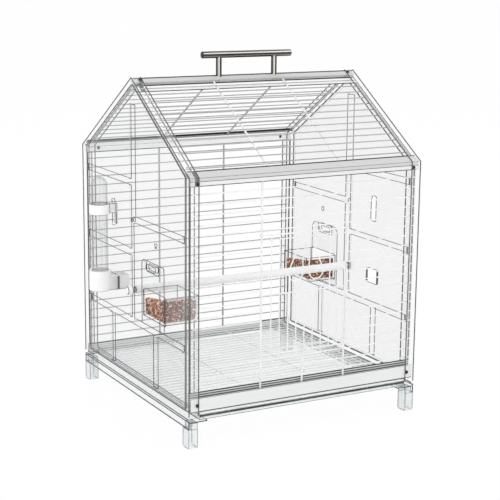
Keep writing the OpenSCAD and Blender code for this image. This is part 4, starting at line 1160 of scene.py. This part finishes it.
class CARRIER_OT_floor(bpy.types.Operator):
    """Wire floor grate and the pale tray under it"""
    bl_idname = "carrier.floor"
    bl_label = "Grate and tray"

    def execute(self, context):
        size = sizes()
        low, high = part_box("floor_grate")
        bm = bmesh.new()
        gap = size.grate_spacing
        wide = high.x - low.x
        front = low.y + size.grate_end
        deep = high.y - size.grate_end - front
        rows = int((deep - size.grate_last) / gap)
        wire_row(bm, (low.x, front + gap, low.z + size.grate_thin), rows, gap, wide, size.grate_thin, FLAT)
        wire_row(bm, (low.x, front, low.z + size.grate_end), 2, deep, wide, size.grate_end, FLAT)
        outer = wide - 2 * size.grate_inset
        inner = middle_x() - size.cross_spacing / 2
        for x, apart in ((low.x + size.grate_inset, outer), (inner, size.cross_spacing)):
            start = (x, front, high.z - size.grate_long)
            wire_row(bm, start, 2, apart, deep, size.grate_long, FLAT @ UPRIGHT)
        piece("grate_wires", bm, ["white wire"], "grate", "floor_grate", True)
        self.tray()
        return {"FINISHED"}

    def tray(self):
        """The tray, with the shaded band that its front wall shows under the rail."""
        size = sizes()
        low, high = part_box("tray")
        bm = node_copy("tray")
        bottom, top = high.z - size.tray_band, high.z - size.tray_rim
        for z in (bottom, top):
            cut(bm, "Z", z)
        for face in bm.faces:
            spot = face.calc_center_median()
            if face.normal.y < -0.9 and spot.y < low.y + size.seam and bottom < spot.z < top:
                face.material_index = 2
        shade_edges(bm, size.fine_line, 1, SHARP_BEND, size.tray_edge)
        piece("slide_tray", bm, ["tray plastic", "soft line", "clear line"], "tray", "tray")


class CARRIER_OT_door(bpy.types.Operator):
    """Door of bent wire on its hinge rings, with the heart wire"""
    bl_idname = "carrier.door"
    bl_label = "Door"

    def execute(self, context):
        spot = layout()
        size = sizes()
        bm = bmesh.new()
        for z, stile in (
            (spot.bottom_rail, spot.stile_x), (spot.middle_rail, spot.stile_x),
            (spot.top_rail, spot.stile_top_x),
        ):
            merge(bm, self.ring(spot, z))
            stop = stile + size.rail_over
            points = [(x, spot.rail_y, z) for x in (spot.hinge_x, (spot.hinge_x + stop) / 2, stop)]
            merge(bm, tube(points, size.door_rail))
        self.bars(bm, spot)
        merge(bm, tube(self.stile(spot), size.thin))
        ball = bmesh.new()
        bmesh.ops.create_uvsphere(ball, u_segments=16, v_segments=10, radius=size.pin)
        merge(bm, ball, Matrix.Translation((spot.stile_x, spot.bar_y, spot.pin_z)))
        piece("door_wires", bm, ["white wire"], "door", "door", True)
        heart = tube(soft_curve(self.heart(spot)), size.thin)
        piece("heart_wire", heart, ["white wire"], "door", "door_heart", True)
        return {"FINISHED"}

    def ring(self, spot, z):
        size = sizes()
        reach = size.thick + size.ring_play + size.ring
        x, y = spot.hinge_x, spot.thick_y
        points = [(x + reach * math.sin(a), y - reach * math.cos(a), z) for a in round_turn(28)]
        return tube(points, size.ring, closed=True)

    def bars(self, bm, spot):
        size = sizes()
        for i in range(size.door_bars):
            x = spot.bar_middle + (i - (size.door_bars - 1) / 2) * size.door_spacing
            short = size.short_from <= i <= size.short_to
            levels = [spot.bottom_rail, spot.middle_rail] + ([] if short else [spot.top_rail])
            start, stop = levels[0] - size.door_over, levels[-1] + size.door_over
            points = [(x, spot.bar_y, z) for z in (start, (start + stop) / 2, stop)]
            merge(bm, tube(points, size.thin))
            for z in levels:
                bead = bmesh.new()
                bmesh.ops.create_icosphere(bead, subdivisions=1, radius=size.weld)
                merge(bm, bead, Matrix.Translation((x, (spot.bar_y + spot.rail_y) / 2, z)))

    def stile(self, spot):
        """Points of the stile with its slanted bend."""
        size = sizes()
        jog = spot.middle_rail + size.jog_up
        soft = size.jog_rise / 2
        route = [
            (spot.stile_x, spot.pin_z), (spot.stile_x, spot.middle_rail), (spot.stile_x, jog - soft),
            (spot.stile_x + 0.1 * soft, jog), (spot.stile_top_x - 0.1 * soft, jog + size.jog_rise),
            (spot.stile_top_x, jog + size.jog_rise + soft), (spot.stile_top_x, spot.top_rail - soft),
            (spot.stile_top_x, spot.top_rail + size.door_over),
        ]
        return soft_curve([(x, spot.bar_y, z) for x, z in route], 4)

    def heart(self, spot):
        """Points of the heart wire: down one side, round its bend, up to the tip and back likewise."""
        size = sizes()
        low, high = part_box("door_heart")
        bottom = low.z + size.thin + size.fit
        tip = bottom + size.heart_height
        half = (high.x - low.x) / 2 - size.thin - size.fit
        bend = (half - size.heart_inner) / 2
        stem_x = half / 2
        shoulder = tip - size.heart_stem
        ease = 4 * MM
        turns = [math.radians(20 - 24 * k) for k in range(9)]
        inner, knee = size.heart_inner, tip - size.heart_knee
        side = [(stem_x, high.z), (stem_x, shoulder + ease), (stem_x * 1.05, shoulder - ease)]
        side += [((stem_x + half) / 2, (shoulder + bottom + bend) / 2)]
        side += [(half - bend + bend * math.cos(a), bottom + bend + bend * math.sin(a)) for a in turns]
        side += [(inner, bottom + bend + ease), (inner, knee - ease)]
        side += [(inner * 0.85, knee), (inner * 0.3, tip - ease), (0.0, tip)]
        left = [(spot.heart_x - x, spot.bar_y, z) for x, z in side]
        right = [(spot.heart_x + x, spot.bar_y, z) for x, z in reversed(side[:-1])]
        return left + right


class CARRIER_OT_latch(bpy.types.Operator):
    """Sleeve and curved hook of the latch"""
    bl_idname = "carrier.latch"
    bl_label = "Latch"

    def execute(self, context):
        spot = layout()
        size = sizes()
        low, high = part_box("door_latch")
        outer = spot.bar_y - low.y
        bore = size.thin + size.fit
        tall = high.z - low.z
        soft = size.eased
        profile = [(0, bore), (0, outer - soft), (soft, outer)]
        profile += [(tall - soft, outer), (tall, outer - soft), (tall, bore)]
        bm = turned(profile, (spot.stile_x, spot.bar_y, low.z), (0, 0, 1), 24)
        z = low.z + size.thin + size.play
        route = [(size.hook_reach * part, size.hook_start) for part in (0.2, 0.45, 0.7, 0.9)]
        turns = [size.hook_start - size.hook_sweep * part for part in (0.08, 0.3, 0.55, 0.8, 1.0)]
        route += [(size.hook_reach, a) for a in turns]
        points = [(spot.stile_x + r * math.cos(a), spot.bar_y + r * math.sin(a), z) for r, a in route]
        merge(bm, tube(soft_curve(points, 4), size.thin - size.fit))
        piece("latch_hook", bm, ["white wire"], "latch", "door_latch", True)
        return {"FINISHED"}


class CARRIER_OT_base(bpy.types.Operator):
    """Clear side runners and feet"""
    bl_idname = "carrier.base"
    bl_label = "Base"

    def execute(self, context):
        size = sizes()
        for side in ("left", "right"):
            clear_piece("runner_strip_" + side, "runner_" + side, "cabin", size.line,
                        ["base plastic", "clear line"], size.runner_edge)
            for corner in ("front_" + side, "back_" + side):
                clear_piece("foot_block_" + corner, "foot_" + corner, "cabin",
                            size.fine_line, ["foot plastic", "clear line"], size.foot_edge)
        return {"FINISHED"}


class CARRIER_OT_perch(bpy.types.Operator):
    """Grooved perch and its two knurled nuts"""
    bl_idname = "carrier.perch"
    bl_label = "Perch"

    def execute(self, context):
        size = sizes()
        low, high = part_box("perch")
        radius = (high.z - low.z) / 2
        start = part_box("gable_panel_left")[1].x + size.play - low.x
        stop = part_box("gable_panel_right")[0].x - size.play - low.x
        total = high.x - low.x
        soft = 2 * size.eased
        profile = [(0, 0), (0, size.perch_end - soft), (soft, size.perch_end), (start, size.perch_end)]
        profile += [(start, radius - soft), (start + soft, radius)]
        for k in range(1, int((stop - start) / size.perch_rib)):
            x = start + k * size.perch_rib
            profile += [(x - soft, radius), (x, radius - soft / 2), (x + soft, radius)]
        profile += [(stop - soft, radius), (stop, radius - soft), (stop, size.perch_end)]
        profile += [(total - soft, size.perch_end), (total, size.perch_end - soft), (total, 0)]
        middle = (low + high) / 2
        bm = turned(profile, (low.x, middle.y, middle.z), (1, 0, 0), 40)
        piece("perch_bar", bm, ["perch plastic"], "cabin", "perch", True)
        self.nut("left", -1)
        self.nut("right", 1)
        return {"FINISHED"}

    def nut(self, side, way):
        """A knurled nut with a domed outer end, with painted shade on its seat and round its end."""
        size = sizes()
        low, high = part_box("perch_nut_" + side)
        tall = high.x - low.x
        radius = (high.z - low.z) / 2
        bore = size.perch_end + size.fit
        seat, shoulder, dome, floor = (tall * part for part in (0.16, 0.7, 0.92, 0.77))
        centre = Vector((high.x if way < 0 else low.x, (low.y + high.y) / 2, (low.z + high.z) / 2))
        profile = [(0, bore), (0, radius - size.eased), (size.eased, radius), (seat, radius)]
        profile += [(shoulder, radius), (dome, radius * 0.9), (tall, radius * 0.7), (tall, 0)]
        profile += [(floor, 0), (floor, bore)]
        bm = turned(profile, centre, (way, 0, 0))
        flutes, flute_depth = 12, 0.015
        for v in bm.verts:
            off = v.co - centre
            if math.hypot(off.y, off.z) > radius * 0.97:
                grip = 1 - flute_depth * (1 + math.cos(flutes * math.atan2(off.z, off.y)))
                v.co = centre + Vector((off.x, off.y * grip, off.z * grip))
        # painted shade on the seat and round the end
        for face in bm.faces:
            spot = face.calc_center_median() - centre
            out = math.hypot(spot.y, spot.z)
            along = abs(spot.x)
            on_seat = out > bore * 1.2 and size.eased < along < seat
            on_end = out > radius * 0.6 and along > tall * 0.93
            face.material_index = int(on_seat or on_end)
        piece("nut_knob_" + side, bm, ["white plastic", "rail line"], "nut_" + side,
              "perch_nut_" + side, True)


class CARRIER_OT_feeders(bpy.types.Operator):
    """Clear feeders with loose seed in their cups"""
    bl_idname = "carrier.feeders"
    bl_label = "Feeders"

    def execute(self, context):
        size = sizes()
        for side in ("left", "right"):
            body = "feeder_" + side
            clear_piece("feeder_cup_" + side, body, body, size.fine_line,
                        ["clear plastic", "clear line"], size.feeder_edge)
            values = {"Density": size.grain_density, "Length": size.grain, "Seed": size.grain_seed}
            mesh = run_tree(grain_tree, values, "seed", self.core("seed_" + side))
            settle("seed_mix_" + side, mesh, body, "seed_" + side)
        return {"FINISHED"}

    def core(self, node):
        """The seed's solid, shrunk by the depth that its grains stand out, with the far part let down."""
        size = sizes()
        low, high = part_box(node)
        middle = (low + high) / 2
        half = (high - low) / 2
        margin = size.grain * size.grain_rise
        bm = node_copy(node)
        for v in bm.verts:
            v.co = Vector(m + (c - m) * (h - margin) / h for m, c, h in zip(middle, v.co, half))
        rim_x = low.x + margin + size.slump_rim
        rim_y = low.y + margin + size.slump_rim
        cut(bm, "X", rim_x)
        cut(bm, "Y", rim_y)
        for v in bm.verts:
            if v.co.z > middle.z and v.co.x > rim_x + size.fit and v.co.y > rim_y + size.fit:
                v.co.z -= size.slump
        return plain_mesh("seed_core", bm)


class CARRIER_OT_drinker(bpy.types.Operator):
    """Drinker: clear domed tube, white base with its snout, and clip"""
    bl_idname = "carrier.drinker"
    bl_label = "Drinker"

    def execute(self, context):
        size = sizes()
        low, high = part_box("bottle_tube")
        radius = (high.x - low.x) / 2
        inner = radius - size.tube_wall
        dome = high.z - low.z - radius
        collar = 3 * size.tube_wall
        soft = 2 * size.eased
        turns = [math.radians(10 * k) for k in range(1, 9)]
        profile = [(dome + radius, 0)]
        profile += [(dome + radius * math.sin(a), radius * math.cos(a)) for a in reversed(turns)]
        profile += [(dome, radius), (collar + soft, radius), (collar, radius - soft)]
        profile += [(collar - soft, radius), (0, radius), (0, inner), (dome, inner)]
        profile += [(dome + inner * math.sin(a), inner * math.cos(a)) for a in turns] + [(dome + inner, 0)]
        middle = (low + high) / 2
        bm = turned(profile, (middle.x, middle.y, low.z), (0, 0, 1))
        piece("water_tube", bm, ["tube plastic"], "bottle", "bottle_tube", True)
        for name, node in (("drinker_base", "bottle_base"), ("drinker_clip", "bottle_clip")):
            # The eased edges of base and clip take the dark finish: painted shade outlining them
            bm = ease_edges(node_copy(node), size.drinker_eased, 1, least=40)
            piece(name, bm, ["white plastic", "rail line"], "drinker", node, True)
        return {"FINISHED"}


class CARRIER_OT_handle(bpy.types.Operator):
    """Steel bar handle on its two posts"""
    bl_idname = "carrier.handle"
    bl_label = "Handle"

    # the bar's finishes round its section, from its top to its underside, and how far a face has to lean
    # up or sideways for each, as in a polished bar that mirrors a bright room
    order = (1, 0, 2, 1, 0, 1)
    bar_leans = (0.88, 0.62, 0.2, -0.3, -0.75)
    post_leans = (0.82, 0.6, 0.1, -0.3, -0.9)

    def execute(self, context):
        size = sizes()
        low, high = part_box("handle_bar")
        radius = (high.z - low.z) / 2
        total = high.x - low.x
        soft = size.bar_eased
        middle = (low + high) / 2
        end = [(0, 0), (0, radius - soft), (soft * 0.3, radius - soft * 0.4), (soft, radius)]
        profile = end + [(total - x, r) for x, r in reversed(end)]
        bm = turned(profile, (low.x, middle.y, middle.z), (1, 0, 0))
        # The bar's end faces take painted shade; the rest take painted reflections by the way they lean
        for face in bm.faces:
            at_end = abs(face.calc_center_median().x - middle.x) > total / 2 - soft
            face.material_index = 3 if at_end else self.reflection(face.normal.z, self.bar_leans)
        finishes = ["dark steel", "pale steel", "steel end"]
        piece("grip_bar", bm, ["bar steel"] + finishes, "cabin", "handle_bar", True)
        bm = ease_edges(node_copy("handle_posts"), size.eased, 0, least=40)
        for face in bm.faces:
            face.material_index = self.reflection(-face.normal.x, self.post_leans)
        piece("grip_posts", bm, ["post steel"] + finishes, "cabin", "handle_posts", True)
        return {"FINISHED"}

    def reflection(self, lean, levels):
        """Which of the steels shows where a face leans this way."""
        return self.order[sum(lean < level for level in levels)]


class CARRIER_OT_screws(bpy.types.Operator):
    """Cross-slotted screws of the frames and the handle"""
    bl_idname = "carrier.screws"
    bl_label = "Screws"

    def execute(self, context):
        self.dress("rail_screws", "frame_screws")
        self.dress("grip_screws", "handle_screws")
        return {"FINISHED"}

    def dress(self, name, node):
        """Screws on the places of a node's screws."""
        start, radius, depth = self.places(node)
        head = self.head(radius, depth)
        mesh = run_tree(screw_tree, {"Head": head}, "screw steel", start)
        bpy.data.meshes.remove(head.data)
        settle(name, mesh, "cabin", node)

    def places(self, node):
        """Points at the outer faces of the screws, with their axes, radius and depth."""
        bm = node_copy(node)
        seen = set()
        points, axes, radii, depths = [], [], [], []
        for first in bm.verts:
            if first in seen:
                continue
            island, queue = set(), [first]
            while queue:
                v = queue.pop()
                if v not in island:
                    island.add(v)
                    queue += [e.other_vert(v) for e in v.link_edges]
            seen |= island
            cap = max((f for f in bm.faces if f.verts[0] in island), key=lambda f: f.calc_area())
            centre = sum((v.co for v in cap.verts), Vector()) / len(cap.verts)
            points.append(centre)
            axes.append(cap.normal.copy())
            radii.append(max((v.co - centre).length for v in cap.verts))
            depths.append(max((centre - v.co).dot(cap.normal) for v in island))
        bm.free()
        mesh = bpy.data.meshes.new("screw_places")
        mesh.from_pydata(points, [], [])
        stored = mesh.attributes.new("axis", "FLOAT_VECTOR", "POINT")
        for item, way in zip(stored.data, axes):
            item.vector = way
        return mesh, min(radii), min(depths)

    def head(self, radius, depth):
        """A screw with a domed head and a cross recess, its outer face at zero."""
        shank = radius * 0.5
        thick = radius * 0.45
        profile = [(0, 0), (0, radius * 0.6), (-thick * 0.25, radius * 0.92), (-thick * 0.5, radius)]
        profile += [(-thick, radius), (-thick, shank)]
        profile += [(-depth + shank * 0.3, shank), (-depth, shank * 0.7), (-depth, 0)]
        whole = self.solid("screw_head", turned(profile, (0, 0, 0), (0, 0, 1), 24))
        cross = bmesh.new()
        for turn in (0, math.pi / 2):
            bar = bmesh.new()
            bmesh.ops.create_cube(bar, size=1)
            shape = Matrix.Rotation(turn, 4, "Z") @ Matrix.Diagonal((radius * 1.1, radius * 0.24, thick, 1))
            merge(cross, bar, shape)
        cutter = self.solid("screw_cross", cross)
        recess = whole.modifiers.new("cross", "BOOLEAN")
        recess.operation = "DIFFERENCE"
        recess.solver = "EXACT"
        recess.use_self = True
        recess.object = cutter
        depsgraph = bpy.context.evaluated_depsgraph_get()
        mesh = bpy.data.meshes.new_from_object(whole.evaluated_get(depsgraph), depsgraph=depsgraph)
        bpy.data.meshes.remove(cutter.data)
        bpy.data.meshes.remove(whole.data)
        return linked("screw_head", mesh)

    def solid(self, name, bm):
        return linked(name, plain_mesh(name, bm))


class CARRIER_OT_studio(bpy.types.Operator):
    """White studio: floor, backdrop light, soft lamps and the camera"""
    bl_idname = "carrier.studio"
    bl_label = "Studio"

    def execute(self, context):
        scene = context.scene
        studio = scene.carrier_studio
        scene.view_settings.view_transform = "Standard"
        scene.cycles.transparent_max_bounces = 40
        self.world(scene, studio)
        self.floor(studio)
        self.lamps(studio)
        self.camera(scene, studio)
        return {"FINISHED"}

    def seen(self, tree):
        """1 for rays from the camera, off gloss or through glass, else 0."""
        path = tree.nodes.new("ShaderNodeLightPath")
        value = path.outputs["Is Camera Ray"]
        for kind in ("Is Glossy Ray", "Is Transmission Ray"):
            value = maths(tree, "MAXIMUM", value, path.outputs[kind])
        return value

    def blend(self, tree, part, first, second):
        """A mix of two shaders."""
        return grow(tree, "ShaderNodeMixShader", {0: part, 1: first, 2: second}).outputs["Shader"]

    def world(self, scene, studio):
        world = bpy.data.worlds.new("studio")
        world.use_nodes = True
        scene.world = world
        tree = world.node_tree
        tree.nodes.clear()
        lit = grow(tree, "ShaderNodeBackground", {"Color": (1, 1, 1, 1), "Strength": studio.fill})
        shown = grow(tree, "ShaderNodeBackground", {"Color": (*studio.backdrop, 1), "Strength": 1.0})
        mix = self.blend(tree, self.seen(tree), lit.outputs["Background"], shown.outputs["Background"])
        grow(tree, "ShaderNodeOutputWorld", {"Surface": mix})

    def floor(self, studio):
        bm = bmesh.new()
        bmesh.ops.create_grid(bm, x_segments=8, y_segments=8, size=40.0)
        bmesh.ops.translate(bm, verts=bm.verts, vec=(0, 0, -0.5 * MM))
        floor = linked("studio_floor", plain_mesh("studio_floor", bm))
        mat, tree, shader = new_material("studio paper")
        shader.inputs["Base Color"].default_value = (*studio.backdrop, 1)
        shader.inputs["Roughness"].default_value = 0.9
        glow = grow(tree, "ShaderNodeEmission", {"Color": (*studio.backdrop, 1)})
        part = maths(tree, "MULTIPLY", self.seen(tree), studio.glow)
        mix = self.blend(tree, part, shader.outputs["BSDF"], glow.outputs["Emission"])
        tree.links.new(mix, tree.nodes["Material Output"].inputs["Surface"])
        floor.data.materials.append(mat)

    def lamps(self, studio):
        """Three square lamps, each with its place, width and share of the key light's power."""
        target = Vector((0, 0, 0.25))
        for name, place, wide, part in (
            ("key_lamp", (-1.6, -1.9, 2.3), 1.6, 1.0), ("side_lamp", (2.2, -0.9, 1.5), 1.6, 0.35),
            ("back_lamp", (0.4, 2.2, 2.2), 1.8, 0.4),
        ):
            data = bpy.data.lights.new(name, "AREA")
            data.energy = studio.key * part
            data.size = wide
            lamp = linked(name, data)
            lamp.location = place
            lamp.rotation_euler = (target - Vector(place)).to_track_quat("-Z", "Y").to_euler()

    def camera(self, scene, studio):
        turn, tilt, roll = studio.azimuth, studio.elevation, studio.roll
        back = Vector((math.sin(turn) * math.cos(tilt), -math.cos(turn) * math.cos(tilt), math.sin(tilt)))
        level = Vector((0, 0, 1)).cross(back).normalized()
        upright = back.cross(level)
        right = level * math.cos(roll) + upright * math.sin(roll)
        up = upright * math.cos(roll) - level * math.sin(roll)
        data = bpy.data.cameras.new("photo_camera")
        data.lens = studio.lens
        camera = linked("photo_camera", data)
        matrix = Matrix((right, up, back)).transposed().to_4x4()
        matrix.translation = Vector(studio.place) + Vector((middle_x(), 0, 0))
        camera.matrix_world = matrix
        scene.camera = camera


class CARRIER_PT_panel(bpy.types.Panel):
    """Lists the carrier's build steps and settings"""
    bl_idname = "CARRIER_PT_panel"
    bl_label = "Bird carrier"
    bl_space_type = "VIEW_3D"
    bl_region_type = "UI"
    bl_category = "Carrier"

    def draw(self, context):
        for step in STEPS:
            self.layout.operator(step.bl_idname)
        for name in ("carrier_sizes", "carrier_colours", "carrier_studio"):
            settings = getattr(context.scene, name)
            box = self.layout.box()
            for prop in settings.bl_rna.properties:
                if prop.identifier not in ("rna_type", "name"):
                    box.prop(settings, prop.identifier)


STEPS = (
    CARRIER_OT_gables, CARRIER_OT_rails, CARRIER_OT_walls, CARRIER_OT_floor, CARRIER_OT_door,
    CARRIER_OT_latch, CARRIER_OT_base, CARRIER_OT_perch, CARRIER_OT_feeders, CARRIER_OT_drinker,
    CARRIER_OT_handle, CARRIER_OT_screws, CARRIER_OT_studio,
)
GROUPS = (CarrierSizes, CarrierColours, CarrierStudio)


def register():
    for cls in GROUPS + STEPS + (CARRIER_PT_panel,):
        bpy.utils.register_class(cls)
    bpy.types.Scene.carrier_sizes = PointerProperty(type=CarrierSizes)
    bpy.types.Scene.carrier_colours = PointerProperty(type=CarrierColours)
    bpy.types.Scene.carrier_studio = PointerProperty(type=CarrierStudio)


def unregister():
    for name in ("carrier_sizes", "carrier_colours", "carrier_studio"):
        delattr(bpy.types.Scene, name)
    for cls in reversed(GROUPS + STEPS + (CARRIER_PT_panel,)):
        bpy.utils.unregister_class(cls)


def main():
    register()
    bpy.ops.carrier.gables()
    bpy.ops.carrier.rails()
    bpy.ops.carrier.walls()
    bpy.ops.carrier.floor()
    bpy.ops.carrier.door()
    bpy.ops.carrier.latch()
    bpy.ops.carrier.base()
    bpy.ops.carrier.perch()
    bpy.ops.carrier.feeders()
    bpy.ops.carrier.drinker()
    bpy.ops.carrier.handle()
    bpy.ops.carrier.screws()
    bpy.ops.carrier.studio()


if __name__ == "__main__":
    main()
